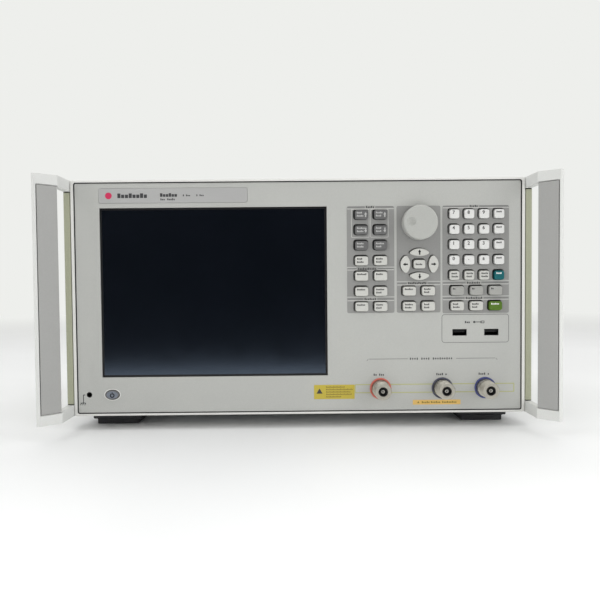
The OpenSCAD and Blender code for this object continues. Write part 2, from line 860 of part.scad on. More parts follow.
module fan_rotor() {
    back = rear_y - rear_t;
    hub_front = back - fan_t + 2;
    hub_d = fan_t - 2 - fan_base_t - 1;
    color([0.2, 0.2, 0.21]) translate([fan_x, 0, fan_z]) {
        rod(hub_front, hub_d, fan_hub_r);
        rod(hub_front + hub_d - 1, fan_base_t + 1.5, fan_shaft_r);
        intersection() {
            rod(hub_front, hub_d, fan_blade_r);
            for (i = [0:fan_blades - 1]) rotate([0, i * 360 / fan_blades, 0])
                translate([fan_hub_r - 1, hub_front + hub_d / 2, 0]) rotate([-35, 0, 0])
                    translate([0, -hub_d * 0.7, -0.9]) cube([fan_blade_r, hub_d * 1.4, 1.8]);
        }
    }
}

module ac_inlet() {
    outer_w = inlet_w + 2 * inlet_wall;
    outer_h = inlet_h + 2 * inlet_wall;
    color([0.09, 0.09, 0.1]) translate([inlet_x, 0, inlet_z]) {
        difference() {
            union() {
                upright(rear_y - inlet_d - 2, inlet_d + 2) rounded(outer_w, outer_h, 1.5);
                upright(rear_y, inlet_flange_t) rounded(48, outer_h + 3, 3);
            }
            upright(rear_y + inlet_flange_t - inlet_d, inlet_d + 1) rounded(inlet_w, inlet_h, 2);
        }
        for (p = [[-7, -1.5], [0, 2], [7, -1.5]])
            translate([p[0], 0, p[1]]) upright(rear_y + inlet_flange_t - inlet_d - 1, 13)
                square([2, 4], center = true);
    }
}

module rear_connectors() {
    color([0.74, 0.73, 0.68]) {
        for (x = bnc_x) translate([x, 0, bnc_z]) {
            difference() {
                union() {
                    rod(rear_y - rear_t - 8, bnc_rise + rear_t + 8, bnc_r);
                    rod(rear_y - rear_t - 2, 2, bnc_r + 2);
                    translate([0, rear_y, 0]) rotate([-90, 0, 0]) cylinder(h = 2, r = bnc_r + 2.2, $fn = 6);
                }
                rod(rear_y + bnc_rise - 9, 10, bnc_bore_r);
            }
            rod(rear_y + bnc_rise - 9.5, 8.5, bnc_core_r);
        }
        translate([lan_x, 0, lan_z]) difference() {
            upright(rear_y - 18, 19) square([lan_w, lan_h], center = true);
            upright(rear_y - 12, 14) square([lan_open_w, lan_open_h], center = true);
        }
        translate([handler_x, 0, handler_z]) {
            upright(rear_y - 12, 18) rounded(handler_w, handler_h, 2);
            upright(rear_y - rear_t - 1.5, 1.5) rounded(handler_w + 16, handler_h + 4, 2);
        }
        translate([video_x, 0, video_z]) {
            upright(rear_y - 10, 15) rounded(video_w - 6, video_h - 2, 2);
            upright(rear_y - rear_t - 1.2, 1.2) rounded(video_w + 8, video_h + 4, 2);
        }
    }
}

// ---------- assembly ----------

front_frame();
front_panel();
nameplate();
display_window();
lcd_module();
keypad_board();
encoder_body();
rf_out_connector();
port_1_connector();
port_2_connector();
port_rings();
usb_sockets();
ground_jack();
chassis();
cover();
rear_panel();
handle_left();
handle_right();
handle_inserts();
handle_trims();
feet();
rear_bumpers();
power_supply();
main_board();
rf_module();
fan_housing();
ac_inlet();
rear_connectors();
screws();
tuning_knob();
encoder_shaft();
power_button();
key_7();
key_8();
key_9();
key_4();
key_5();
key_6();
key_1();
key_2();
key_3();
key_0();
key_point();
key_sign();
key_up();
key_down();
key_left();
key_right();
key_enter();
key_preset();
key_help();
unit_keys();
edit_keys();
function_keys();
setup_keys();
measurement_keys();
trigger_keys();
calibration_keys();
state_keys();
fan_rotor();
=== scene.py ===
"""Looks of the bench network analyzer: its castings, its printed panel, its keys and its connectors.

Lengths are in millimetres until they reach Blender, which works in metres.
"""
import json
import math

import bmesh
import bpy
from mathutils import Matrix, Vector


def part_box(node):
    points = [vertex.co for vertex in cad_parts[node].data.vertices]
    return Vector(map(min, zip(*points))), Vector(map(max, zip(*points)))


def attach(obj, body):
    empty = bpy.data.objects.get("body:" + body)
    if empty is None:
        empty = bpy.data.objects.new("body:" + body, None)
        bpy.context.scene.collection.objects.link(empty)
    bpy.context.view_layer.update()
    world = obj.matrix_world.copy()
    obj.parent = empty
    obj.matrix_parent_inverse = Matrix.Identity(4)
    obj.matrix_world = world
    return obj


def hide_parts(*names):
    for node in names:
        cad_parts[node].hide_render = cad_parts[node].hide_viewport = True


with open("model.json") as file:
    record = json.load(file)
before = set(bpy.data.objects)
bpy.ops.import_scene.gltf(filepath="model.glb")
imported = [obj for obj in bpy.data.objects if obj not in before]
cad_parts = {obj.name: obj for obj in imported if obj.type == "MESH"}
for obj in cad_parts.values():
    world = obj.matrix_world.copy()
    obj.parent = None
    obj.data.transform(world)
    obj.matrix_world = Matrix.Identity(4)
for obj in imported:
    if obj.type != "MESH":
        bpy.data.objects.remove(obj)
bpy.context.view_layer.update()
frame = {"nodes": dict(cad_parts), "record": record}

MM = 0.001
TO_XZ = (math.pi / 2, 0, 0)

BODY_OF = {}
for body_name, members in frame["record"]["behaviour"]["bodies"].items():
    for member in members:
        BODY_OF[member] = body_name


# ---------- places taken from the frame ----------

def extent(node):
    """Lowest and highest corner of a CAD node in millimetres."""
    low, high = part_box(node)
    return low / MM, high / MM


def middle(node):
    low, high = extent(node)
    return (low + high) / 2


PANEL_LOW, PANEL_HIGH = extent("front_panel")
FACE = PANEL_LOW.y
PANEL_BACK = PANEL_HIGH.y
REAR = extent("rear_panel")[1].y
KEY_FACE = extent("key_5")[0].y
KEY_BACK = extent("key_5")[1].y

# Thickness of ink, how far print sinks into its face, and the layers of the keypad and labels
INK = 0.05
SINK = 0.03
MAT_T = 0.06
OVERLAY_T = 0.14
LABEL_T = 0.12

# Points of a CAD mesh that lie closer than this are one point
WELD = 0.005 * MM


# ---------- hands ----------

def work_on(piece):
    """Selects one piece and nothing else."""
    bpy.ops.object.select_all(action="DESELECT")
    piece.select_set(True)
    bpy.context.view_layer.objects.active = piece


def enter(piece):
    work_on(piece)
    bpy.ops.object.mode_set(mode="EDIT")


def leave():
    bpy.ops.object.mode_set(mode="OBJECT")


def added(name):
    """Names the new primitive and puts its place into its mesh."""
    piece = bpy.context.object
    piece.name = name
    work_on(piece)
    bpy.ops.object.transform_apply(location=True, rotation=True, scale=True)
    return piece


def pick(piece, kind, test):
    """Selects, in edit mode, the faces or edges that pass the test.

    The test gets the middle in millimetres and the normal of a face or the direction of an edge.
    """
    bpy.ops.mesh.select_mode(type=kind)
    bpy.ops.mesh.select_all(action="DESELECT")
    mesh = bmesh.from_edit_mesh(piece.data)
    if kind == "FACE":
        for face in mesh.faces:
            face.select_set(test(face.calc_center_median() / MM, face.normal))
    else:
        for edge in mesh.edges:
            a, b = edge.verts[0].co, edge.verts[1].co
            edge.select_set(test((a + b) / (2 * MM), (b - a).normalized()))
    bmesh.update_edit_mesh(piece.data)


def modify(piece, kind, **settings):
    """Adds a modifier, sets it and applies it."""
    work_on(piece)
    step = piece.modifiers.new(kind.lower(), kind)
    for key, value in settings.items():
        setattr(step, key, value)
    bpy.ops.object.modifier_apply(modifier=step.name)


def smooth(piece, angle=35):
    """Smooth shading in which the large faces beside rounded edges stay flat."""
    work_on(piece)
    bpy.ops.object.shade_smooth_by_angle(angle=math.radians(angle))
    modify(piece, "WEIGHTED_NORMAL", keep_sharp=True, weight=80)


def round_edges(piece, radius, steps=2, angle=38):
    modify(piece, "BEVEL", width=radius * MM, segments=steps, limit_method="ANGLE",
           angle_limit=math.radians(angle), use_clamp_overlap=False)
    smooth(piece)


def slab(name, low, high):
    """Block between two corners."""
    low, high = Vector(low), Vector(high)
    bpy.ops.mesh.primitive_cube_add(size=1, location=(low + high) / 2 * MM, scale=(high - low) * MM)
    return added(name)


def rounded_slab(name, low, high, radius, steps=6):
    """Upright block whose four corners, seen from the front, are rounded."""
    piece = slab(name, low, high)
    enter(piece)
    pick(piece, "EDGE", lambda place, way: abs(way.y) > 0.9)
    bpy.ops.mesh.bevel(offset=radius * MM, segments=steps, affect="EDGES")
    leave()
    return piece


def turned(name, x, z, rings, sides=64, hollow=False):
    """Round piece about a line along Y, from its (radius, y) rings.

    A hollow one is a closed sleeve whose last ring is its first one again.
    """
    radius, y = rings[0]
    bpy.ops.mesh.primitive_circle_add(vertices=sides, radius=radius * MM, rotation=TO_XZ,
                                      location=Vector((x, y, z)) * MM)
    piece = added(name)
    enter(piece)
    bpy.ops.mesh.select_all(action="SELECT")
    if not hollow:
        bpy.ops.mesh.edge_face_add()
        pick(piece, "EDGE", lambda place, way: True)
    for next_radius, next_y in rings[1:]:
        bpy.ops.mesh.extrude_edges_move(TRANSFORM_OT_translate={"value": (0, (next_y - y) * MM, 0)})
        scale = next_radius / radius
        bpy.ops.transform.resize(value=(scale, 1, scale),
                                 center_override=Vector((x, next_y, z)) * MM)
        radius, y = next_radius, next_y
    if not hollow:
        bpy.ops.mesh.edge_face_add()
    bpy.ops.mesh.select_all(action="SELECT")
    bpy.ops.mesh.remove_doubles(threshold=0.001 * MM)
    bpy.ops.mesh.normals_make_consistent(inside=False)
    leave()
    smooth(piece, 30)
    return piece


def moved(piece, name, x=0.0, y=0.0, z=0.0):
    """Copy of a finished piece with a mesh of its own, shifted in millimetres."""
    copy = bpy.data.objects.new(name, piece.data.copy())
    bpy.context.scene.collection.objects.link(copy)
    copy.data.transform(Matrix.Translation(Vector((x, y, z)) * MM))
    return copy


def joined(pieces, name):
    """One piece out of several, each with its own finish."""
    work_on(pieces[0])
    for piece in pieces:
        piece.select_set(True)
    bpy.ops.object.join()
    pieces[0].name = name
    return pieces[0]


def node_copy(node, name):
    """Copy of a CAD node with its doubles merged and its flat faces joined."""
    piece = bpy.data.objects.new(name, frame["nodes"][node].data.copy())
    bpy.context.scene.collection.objects.link(piece)
    piece.data.materials.clear()
    work_on(piece)
    bpy.ops.mesh.customdata_custom_splitnormals_clear()
    enter(piece)
    bpy.ops.mesh.select_all(action="SELECT")
    bpy.ops.mesh.remove_doubles(threshold=WELD)
    bpy.ops.mesh.dissolve_limited(angle_limit=math.radians(1))
    leave()
    return piece


def painted(piece, finish):
    piece.data.materials.clear()
    piece.data.materials.append(finish)
    return piece


def repaint(piece, finish, test):
    """Gives a second finish to the faces that pass the test, which gets their middle and normal."""
    piece.data.materials.append(finish)
    index = len(piece.data.materials) - 1
    for face in piece.data.polygons:
        if test(face.center / MM, face.normal):
            face.material_index = index
    return piece


def fitted(piece, slot, *nodes):
    """Fixes a finished piece to its body and hides the CAD nodes that it stands for; its slot is not used."""
    if nodes:
        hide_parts(*nodes)
    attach(piece, BODY_OF[nodes[0]] if nodes else "cabinet")
    return piece


def solids(node):
    """Boxes (low, high) of the separate solids in a CAD node, by rows from the top left."""
    work = bmesh.new()
    work.from_mesh(frame["nodes"][node].data)
    bmesh.ops.remove_doubles(work, verts=work.verts, dist=WELD)
    left, boxes = set(work.verts), []
    while left:
        heap, group = [left.pop()], []
        while heap:
            point = heap.pop()
            group.append(point.co / MM)
            for edge in point.link_edges:
                other = edge.other_vert(point)
                if other in left:
                    left.remove(other)
                    heap.append(other)
        low = Vector([min(p[i] for p in group) for i in range(3)])
        high = Vector([max(p[i] for p in group) for i in range(3)])
        boxes.append((low, high))
    work.free()
    return sorted(boxes, key=lambda b: (-round(b[0].z), b[0].x))


# ---------- finishes ----------

def tone(red, green, blue):
    """Linear colour from the 0 to 255 values that a screen shows."""
    linear = [((v / 255 + 0.055) / 1.055) ** 2.4 if v > 10 else v / 255 / 12.92
              for v in (red, green, blue)]
    return (*linear, 1.0)


class Finish:
    """Material built from nodes on Object coordinates."""

    def __init__(self, name):
        self.material = bpy.data.materials.new(name)
        self.material.use_nodes = True
        self.nodes = self.material.node_tree.nodes
        self.links = self.material.node_tree.links
        self.shader = self.nodes["Principled BSDF"]
        self.place = self.nodes.new("ShaderNodeTexCoord").outputs["Object"]

    def stretched(self, x, y, z):
        """Coordinates scaled by an own factor along each axis."""
        mapping = self.nodes.new("ShaderNodeMapping")
        mapping.inputs["Scale"].default_value = (x, y, z)
        self.links.new(self.place, mapping.inputs["Vector"])
        return mapping.outputs["Vector"]

    def noise(self, size, detail=3, vector=None):
        """Noise whose spots are about size millimetres wide."""
        node = self.nodes.new("ShaderNodeTexNoise")
        node.inputs["Scale"].default_value = 1 / (size * MM)
        node.inputs["Detail"].default_value = detail
        node.inputs["Roughness"].default_value = 0.6
        self.links.new(vector or self.place, node.inputs["Vector"])
        return node.outputs["Fac"]

    def cells(self, size):
        """Distance to the nearest of points that lie about size millimetres apart."""
        node = self.nodes.new("ShaderNodeTexVoronoi")
        node.inputs["Scale"].default_value = 1 / (size * MM)
        self.links.new(self.place, node.inputs["Vector"])
        return node.outputs["Distance"]

    def ramp(self, factor, low, high, start=0.35, end=0.65):
        """Colour that goes from low to high as the factor goes from start to end."""
        node = self.nodes.new("ShaderNodeValToRGB")
        node.color_ramp.elements[0].position = start
        node.color_ramp.elements[0].color = low
        node.color_ramp.elements[1].position = end
        node.color_ramp.elements[1].color = high
        self.links.new(factor, node.inputs["Fac"])
        return node.outputs["Color"]

    def blend(self, factor, a, b, kind="MIX"):
        node = self.nodes.new("ShaderNodeMix")
        node.data_type = "RGBA"
        node.blend_type = kind
        for socket, value in ((node.inputs["Factor"], factor), (node.inputs[6], a), (node.inputs[7], b)):
            if isinstance(value, bpy.types.NodeSocket):
                self.links.new(value, socket)
            else:
                socket.default_value = value
        return node.outputs[2]

    def colour(self, source):
        self.links.new(source, self.shader.inputs["Base Color"])
        return self

    def gloss(self, factor, low, high):
        """Roughness that wanders between low and high with the factor."""
        node = self.nodes.new("ShaderNodeMapRange")
        node.inputs["From Min"].default_value = 0.3
        node.inputs["From Max"].default_value = 0.7
        node.inputs["To Min"].default_value = low
        node.inputs["To Max"].default_value = high
        self.links.new(factor, node.inputs["Value"])
        self.links.new(node.outputs["Result"], self.shader.inputs["Roughness"])
        return self

    def bump(self, height, depth, strength=0.6):
        """Surface relief of about depth millimetres."""
        node = self.nodes.new("ShaderNodeBump")
        node.inputs["Strength"].default_value = strength
        node.inputs["Distance"].default_value = depth * MM
        self.links.new(height, node.inputs["Height"])
        self.links.new(node.outputs["Normal"], self.shader.inputs["Normal"])
        return self

    def fixed(self, **values):
        """Constant values on the shader's own sockets."""
        for key, value in values.items():
            self.shader.inputs[key.replace("_", " ")].default_value = value
        return self


def paint(name, dark, light, rough=(0.5, 0.62), grain=0.55, depth=0.025, stain=0.035):
    """Baked enamel: fine orange peel, faint speckle and a broad, faint change of tone."""
    f = Finish(name)
    dark, light = tone(*dark), tone(*light)
    speckle = f.ramp(f.noise(grain, 2), dark, light)
    broad = f.ramp(f.noise(90, 3), (1 - stain, 1 - stain, 1 - stain * 0.8, 1), (1, 1, 1, 1))
    f.colour(f.blend(1.0, speckle, broad, "MULTIPLY"))
    f.gloss(f.noise(14, 4), *rough)
    f.bump(f.noise(grain * 1.4, 2), depth, 0.5)
    return f.fixed(Specular_IOR_Level=0.42).material


def ink_paint(name, dark, light):
    return paint(name, dark, light, grain=0.2, depth=0.004)


def plastic(name, dark, light, rough=(0.42, 0.56), grain=0.3, depth=0.018, sheen=0.4):
    """Moulded plastic with a fine spark-eroded grain and slightly polished patches."""
    f = Finish(name)
    dark, light = tone(*dark), tone(*light)
    f.colour(f.ramp(f.noise(grain * 3, 4), dark, light, 0.3, 0.7))
    f.gloss(f.noise(6, 4), *rough)
    f.bump(f.cells(grain), depth, 0.45)
    return f.fixed(Specular_IOR_Level=sheen).material


def metal(name, dark, light, rough=(0.22, 0.36), along=(1, 1, 1), grain=0.5, depth=0.006):
    """Plated or brushed metal. The brush lines run along the axis with the small factor."""
    f = Finish(name)
    dark, light = tone(*dark), tone(*light)
    lines = f.noise(grain, 4, f.stretched(*along))
    f.colour(f.ramp(lines, dark, light, 0.25, 0.75))
    f.gloss(f.noise(grain * 8, 5, f.stretched(*along)), *rough)
    f.bump(lines, depth, 0.5)
    return f.fixed(Metallic=1.0).material


def zinc(name, dark, light):
    """Zinc-plated sheet with its soft crystal flakes."""
    f = Finish(name)
    dark, light = tone(*dark), tone(*light)
    f.colour(f.ramp(f.cells(7), dark, light, 0.1, 0.9))
    f.gloss(f.noise(5, 4), 0.34, 0.5)
    f.bump(f.noise(1.2, 3), 0.01, 0.4)
    return f.fixed(Metallic=1.0).material


def circuit(name, dark, light, copper):
    """Solder mask with traces and pads showing through it."""
    f = Finish(name)
    dark, light = tone(*dark), tone(*light)
    brick = f.nodes.new("ShaderNodeTexBrick")
    brick.inputs["Scale"].default_value = 1 / (6 * MM)
    brick.inputs["Mortar Size"].default_value = 0.07
    brick.inputs["Color1"].default_value = dark
    brick.inputs["Color2"].default_value = light
    brick.inputs["Mortar"].default_value = tone(*copper)
    f.links.new(f.place, brick.inputs["Vector"])
    f.colour(f.blend(f.noise(3, 2), brick.outputs["Color"], dark))
    f.gloss(f.noise(2, 3), 0.25, 0.42)
    f.bump(brick.outputs["Fac"], 0.03, 0.4)
    return f.material


def screen_glass():
    """Dark optical filter glass with a soft anti-glare etch."""
    f = Finish("filter_glass")
    f.colour(f.ramp(f.noise(60, 2), tone(4, 6, 12), tone(6, 8, 15)))
    f.gloss(f.noise(25, 3), 0.14, 0.17)
    f.bump(f.noise(0.25, 2), 0.0015, 0.2)
    return f.fixed(Specular_IOR_Level=1.0, IOR=1.7, Specular_Tint=(0.6, 0.76, 1.0, 1.0)).material


PANEL_PAINT = paint("panel_enamel", (177, 178, 174), (183, 184, 180))
FRAME_PAINT = paint("frame_enamel", (217, 217, 213), (224, 224, 220), depth=0.03)
HANDLE_PAINT = paint("handle_enamel", (214, 215, 212), (221, 222, 219), depth=0.03)
COVER_PAINT = paint("cover_enamel", (176, 177, 168), (186, 187, 178), grain=0.9, depth=0.06)
REAR_PAINT = paint("rear_enamel", (176, 178, 178), (184, 186, 186))
KEYPAD_PAINT = paint("keypad_film", (140, 140, 138), (146, 146, 144), grain=0.4, depth=0.01)
NAMEPLATE_SATIN = paint("nameplate_satin", (169, 169, 168), (176, 176, 175),
                        rough=(0.3, 0.38), depth=0.008)
TRIM_PAINT = plastic("trim_olive", (156, 158, 136), (166, 168, 146))
GRIP_PLASTIC = plastic("grip_grey", (161, 161, 159), (165, 165, 163), grain=0.45, depth=0.02)
FOOT_PLASTIC = plastic("foot_black", (40, 40, 42), (50, 50, 52), grain=0.8, depth=0.06)
WHITE_KEY = plastic("key_white", (213, 213, 211), (219, 219, 217))
LIGHT_KEY = plastic("key_light", (192, 192, 187), (199, 199, 194))
DARK_KEY = plastic("key_dark", (98, 98, 98), (106, 106, 106))
PANEL_KEY = plastic("key_grey", (157, 157, 153), (165, 165, 161))
GREEN_KEY = plastic("key_green", (76, 108, 26), (86, 118, 34))
TEAL_KEY = plastic("key_teal", (6, 92, 98), (14, 102, 108))
KNOB_PLASTIC = plastic("knob_shell", (171, 172, 168), (178, 179, 175))
BUTTON_PLASTIC = plastic("button_blue_grey", (112, 118, 129), (120, 126, 137))
BLACK_PLASTIC = plastic("black_moulding", (22, 22, 24), (30, 30, 32))
# Black for the seals, and for painted shade round the keys, in the handle recesses and in the seam round the
# panel
SEAL_AND_SHADE_BLACK = plastic("keymat_rubber", (20, 20, 21), (27, 27, 28), rough=(0.7, 0.8), sheen=0.2)
NICKEL = metal("nickel_plate", (194, 190, 178), (218, 214, 203), rough=(0.34, 0.48))
DARK_METAL = metal("blackened_steel", (46, 46, 50), (62, 62, 66), rough=(0.4, 0.55))
STEEL = metal("turned_steel", (170, 171, 174), (206, 207, 210), along=(1, 0.1, 1))
ALUMINIUM = metal("milled_aluminium", (190, 191, 192), (216, 217, 218), rough=(0.3, 0.46),
                  along=(0.08, 1, 1))
GOLD = metal("gold_plate", (206, 164, 84), (232, 192, 112), rough=(0.2, 0.3))
ZINC = zinc("zinc_sheet", (168, 171, 174), (198, 201, 204))
BOARD = circuit("solder_mask", (14, 84, 52), (20, 98, 62), (70, 140, 90))
GLASS = screen_glass()
PTFE = plastic("dielectric", (34, 33, 34), (44, 43, 43), rough=(0.4, 0.5))
CONTACT_WHITE = metal("contact_sleeve", (234, 231, 222), (246, 243, 236), rough=(0.4, 0.5))
DARK_INK = ink_paint("ink_dark", (58, 58, 60), (66, 66, 68))
BLACK_INK = ink_paint("ink_black", (24, 24, 26), (30, 30, 32))
GREY_INK = ink_paint("ink_grey", (122, 122, 121), (130, 130, 129))
LIGHT_INK = ink_paint("ink_light", (190, 190, 186), (197, 197, 193))
WHITE_INK = ink_paint("ink_white", (222, 222, 220), (230, 230, 228))
LIME_INK = ink_paint("ink_lime", (172, 174, 122), (180, 182, 130))
STRIP_INK = ink_paint("ink_strip", (163, 163, 159), (169, 169, 165))
PALE_INK = ink_paint("ink_pale", (178, 178, 176), (186, 186, 184))
OLIVE_INK = ink_paint("ink_olive", (124, 110, 48), (132, 118, 54))
RED_INK = ink_paint("ink_crimson", (196, 40, 84), (206, 50, 94))
YELLOW_LABEL = paint("label_yellow", (183, 165, 61), (191, 173, 70), grain=0.3, depth=0.006)
TAN_LABEL = paint("label_tan", (214, 176, 98), (222, 184, 107), grain=0.3, depth=0.006)
WHITE_LABEL = paint("label_white", (228, 228, 226), (236, 236, 234), grain=0.3, depth=0.006)
RED_RING = plastic("ring_red", (194, 100, 86), (206, 112, 98))
DARK_RING = plastic("ring_slate", (74, 75, 90), (84, 85, 100))
BLUE_RING = plastic("ring_blue", (66, 72, 122), (76, 82, 134))


# ---------- printing ----------

def bar(x, z, width, height, turn=0):
    return ("bar", x, z, width, height, turn)


def dot(x, z, radius):
    return ("dot", x, z, radius, radius, 0)


def arrow(x, z, size, turn):
    """Arrow about (x, z) that points up, turned clockwise by turn degrees."""
    a = math.radians(turn)
    tip = (math.sin(a) * size * 0.2, math.cos(a) * size * 0.2)
    return [("wedge", x + tip[0], z + tip[1], size * 0.38, size * 0.38, turn),
            bar(x - tip[0] * 1.1, z - tip[1] * 1.1, size * 0.28, size * 0.6, turn)]


def word(x, z, letters, height, bold=1.0):
    """Row of letter-sized blocks that starts at x, with the line's middle at z."""
    shapes = []
    step = height * 0.82
    for i in range(letters):
        tall = height if i % 3 == 0 else height * 0.74
        shapes.append(bar(x + step * (i + 0.4), z - (height - tall) / 2, step * 0.7 * bold, tall))
    return shapes


def printed(name, shapes, ink, face=FACE):
    """Ink on the face of the panel, or on another upright face."""
    depth = INK + SINK
    y = face - INK + depth / 2
    for i, (kind, x, z, a, b, turn) in enumerate(shapes):
        place = Vector((x, y, z)) * MM
        if kind == "bar":
            bpy.ops.mesh.primitive_cube_add(size=1, location=place, scale=Vector((a, depth, b)) * MM,
                                            rotation=(0, math.radians(turn), 0))
        else:
            sides = 3 if kind == "wedge" else 24
            lift = Matrix.Rotation(math.radians(turn), 3, "Y") @ Matrix.Rotation(math.pi / 2, 3, "X")
            bpy.ops.mesh.primitive_cylinder_add(vertices=sides, radius=a * MM, depth=depth * MM,
                                                location=place, rotation=lift.to_euler())
        if i == 0:
            enter(bpy.context.object)
    leave()
    piece = added(name)
    enter(piece)
    pick(piece, "EDGE", lambda place, way: abs(way.y) > 0.9)
    bpy.ops.mesh.bevel(offset=0.1 * MM, segments=1, affect="EDGES", clamp_overlap=True)
    leave()
    return painted(piece, ink)


def stamped(*args, **settings):
    """Print that is finished as it stands, on the cabinet."""
    return fitted(printed(*args, **settings), "dark_metal")


def film(name, low, high, ink, radius=0.0, border=0.0, face=FACE, thick=INK):
    """Printed rectangle between two (x, z) corners with rounded corners, or only its border."""
    bpy.ops.mesh.primitive_plane_add(size=1, rotation=TO_XZ)
    piece = bpy.context.object
    piece.scale = Vector((high[0] - low[0], high[1] - low[1], 1)) * MM
    piece.location = Vector(((low[0] + high[0]) / 2, face + SINK, (low[1] + high[1]) / 2)) * MM
    piece = added(name)
    enter(piece)
    bpy.ops.mesh.select_all(action="SELECT")
    if radius:
        bpy.ops.mesh.bevel(offset=radius * MM, segments=6, affect="VERTICES")
    if border:
        bpy.ops.mesh.select_mode(type="FACE")
        bpy.ops.mesh.select_all(action="SELECT")
        bpy.ops.mesh.inset(thickness=border * MM)
        bpy.ops.mesh.delete(type="FACE")
    bpy.ops.mesh.select_mode(type="FACE")
    bpy.ops.mesh.select_all(action="SELECT")
    bpy.ops.mesh.extrude_region_move(
        TRANSFORM_OT_translate={"value": (0, -(thick + SINK) * MM, 0)})
    bpy.ops.mesh.select_all(action="SELECT")
    bpy.ops.mesh.normals_make_consistent(inside=False)
    leave()
    return painted(piece, ink)


def figure(name, text, x, z, height, ink, face):
    """Numeral or sign, centred on (x, z)."""
    bpy.ops.object.text_add(location=Vector((x, face, z)) * MM, rotation=TO_XZ)
    piece = bpy.context.object
    piece.data.body = text
    piece.data.align_x = "CENTER"
    piece.data.align_y = "CENTER"
    piece.data.size = height * 1.42 * MM
    piece.data.extrude = INK * MM
    piece.data.offset = 0.09 * MM
    piece.data.resolution_u = 4
    work_on(piece)
    bpy.ops.object.convert(target="MESH")
    return painted(added(name), ink)


# ---------- castings and sheet metal ----------

def softened(node, name, radius, steps, finish, slot):
    """A CAD node's shape with its sharp edges rounded and a finish of its own."""
    piece = painted(node_copy(node, name), finish)
    round_edges(piece, radius, steps)
    return fitted(piece, slot, node)


def outline_gap(place, low, high, radius):
    """How far a point lies outside the rounded outline of a box seen from the front."""
    across = abs(place.x - (low.x + high.x) / 2) - (high.x - low.x) / 2 + radius
    up = abs(place.z - (low.z + high.z) / 2) - (high.z - low.z) / 2 + radius
    return math.hypot(max(across, 0), max(up, 0)) + min(max(across, up), 0) - radius


def frame_casting():
    """Front frame with a full outer edge, a crisp inner one and a dark ring in the seam round the panel,
    painted shade of the gap.
    """
    low, high = extent("front_frame")
    piece = painted(node_copy("front_frame", "frame_casting"), FRAME_PAINT)
    enter(piece)
    pick(piece, "EDGE", lambda place, way: place.y < low.y + 0.01 and abs(way.y) < 0.1
         and abs(outline_gap(place, low, high, 3)) < 0.3)
    bpy.ops.mesh.bevel(offset=1.2 * MM, segments=5, affect="EDGES")
    leave()
    round_edges(piece, 0.3, 2)
    fitted(piece, "frame_paint", "front_frame")
    # Painted shade: a dark ring set into the seam between frame and panel
    gap = 0.75
    seal = film("panel_seam_shade", (PANEL_LOW.x - gap, PANEL_LOW.z - gap),
                (PANEL_HIGH.x + gap, PANEL_HIGH.z + gap), SEAL_AND_SHADE_BLACK, radius=2, border=0.72,
                face=FACE + 0.35, thick=0.9)
    fitted(seal, "socket_black")


def trim_strips():
    """Strips beside the front frame, with a dark seal at each end."""
    low, high = extent("handle_trims")
    piece = painted(node_copy("handle_trims", "handle_trim_strips"), TRIM_PAINT)
    enter(piece)
    for z in (low.z + 0.75, high.z - 0.75):
        bpy.ops.mesh.select_all(action="SELECT")
        bpy.ops.mesh.bisect(plane_co=(0, 0, z * MM), plane_no=(0, 0, 1))
    leave()
    round_edges(piece, 0.35, 3)
    repaint(piece, SEAL_AND_SHADE_BLACK, lambda place, way: place.z < low.z + 0.74 or place.z > high.z - 0.74)
    fitted(piece, "trim_olive", "handle_trims")


def on_grip(way):
    """Whether a face lies along the slanted inside of a grip."""
    return way.y < -0.6 and abs(way.x) > 0.5


def handles():
    """Bow handles whose grips hold a plastic insert in a recess, with the recess floor painted black as
    painted shade in the groove round the insert.
    """
    for node in ("handle_left", "handle_right"):
        piece = softened(node, f"{node}_casting", 0.42, 3, HANDLE_PAINT, "handle_paint")
        faces = [face for face in piece.data.polygons if on_grip(face.normal)]
        flat = max(faces, key=lambda face: face.area).normal.copy()
        rim = max(face.center.dot(flat) / MM for face in faces if face.normal.dot(flat) > 0.9999)
        # Painted shade: the recess floor round the insert is painted black so the groove reads dark
        repaint(piece, SEAL_AND_SHADE_BLACK, lambda place, way: way.dot(flat) > 0.9999 and place.dot(flat) < rim - 0.6)
    low, high = extent("handle_inserts")
    piece = painted(node_copy("handle_inserts", "handle_grip_inserts"), GRIP_PLASTIC)
    enter(piece)
    pick(piece, "FACE", lambda place, way: way.z > 0.9)
    bpy.ops.transform.translate(value=(0, 0, -0.7 * MM))
    pick(piece, "FACE", lambda place, way: way.z < -0.9)
    bpy.ops.transform.translate(value=(0, 0, 0.7 * MM))
    for side, edge in ((-1, low.x), (1, high.x)):
        pick(piece, "FACE", lambda place, way: abs(place.x - edge) < 1.5 and way.x * side > 0.6 and way.y < 0)
        bpy.ops.transform.translate(value=(-side * 0.62 * MM, 0, 0))
    leave()
    round_edges(piece, 0.25, 3)
    fitted(piece, "grip_grey", "handle_inserts")


def castings():
    frame_casting()
    trim_strips()
    softened("front_panel", "panel_sheet", 0.18, 2, PANEL_PAINT, "panel_paint")
    softened("nameplate", "nameplate_foil", 0.12, 2, NAMEPLATE_SATIN, "nameplate_satin")
    handles()
    softened("cover", "cover_sheet", 0.4, 3, COVER_PAINT, "cover_paint")
    softened("chassis", "chassis_pan", 0.3, 2, ZINC, "sheet_steel")
    softened("rear_panel", "rear_sheet", 0.25, 2, REAR_PAINT, "rear_paint")
    softened("feet", "bench_feet", 1.0, 3, FOOT_PLASTIC, "foot_plastic")
    softened("rear_bumpers", "corner_bumpers", 1.2, 3, FOOT_PLASTIC, "foot_plastic")
    softened("screws", "cap_screws", 0.25, 2, STEEL, "dark_metal")


# ---------- keypad: where the keys are ----------

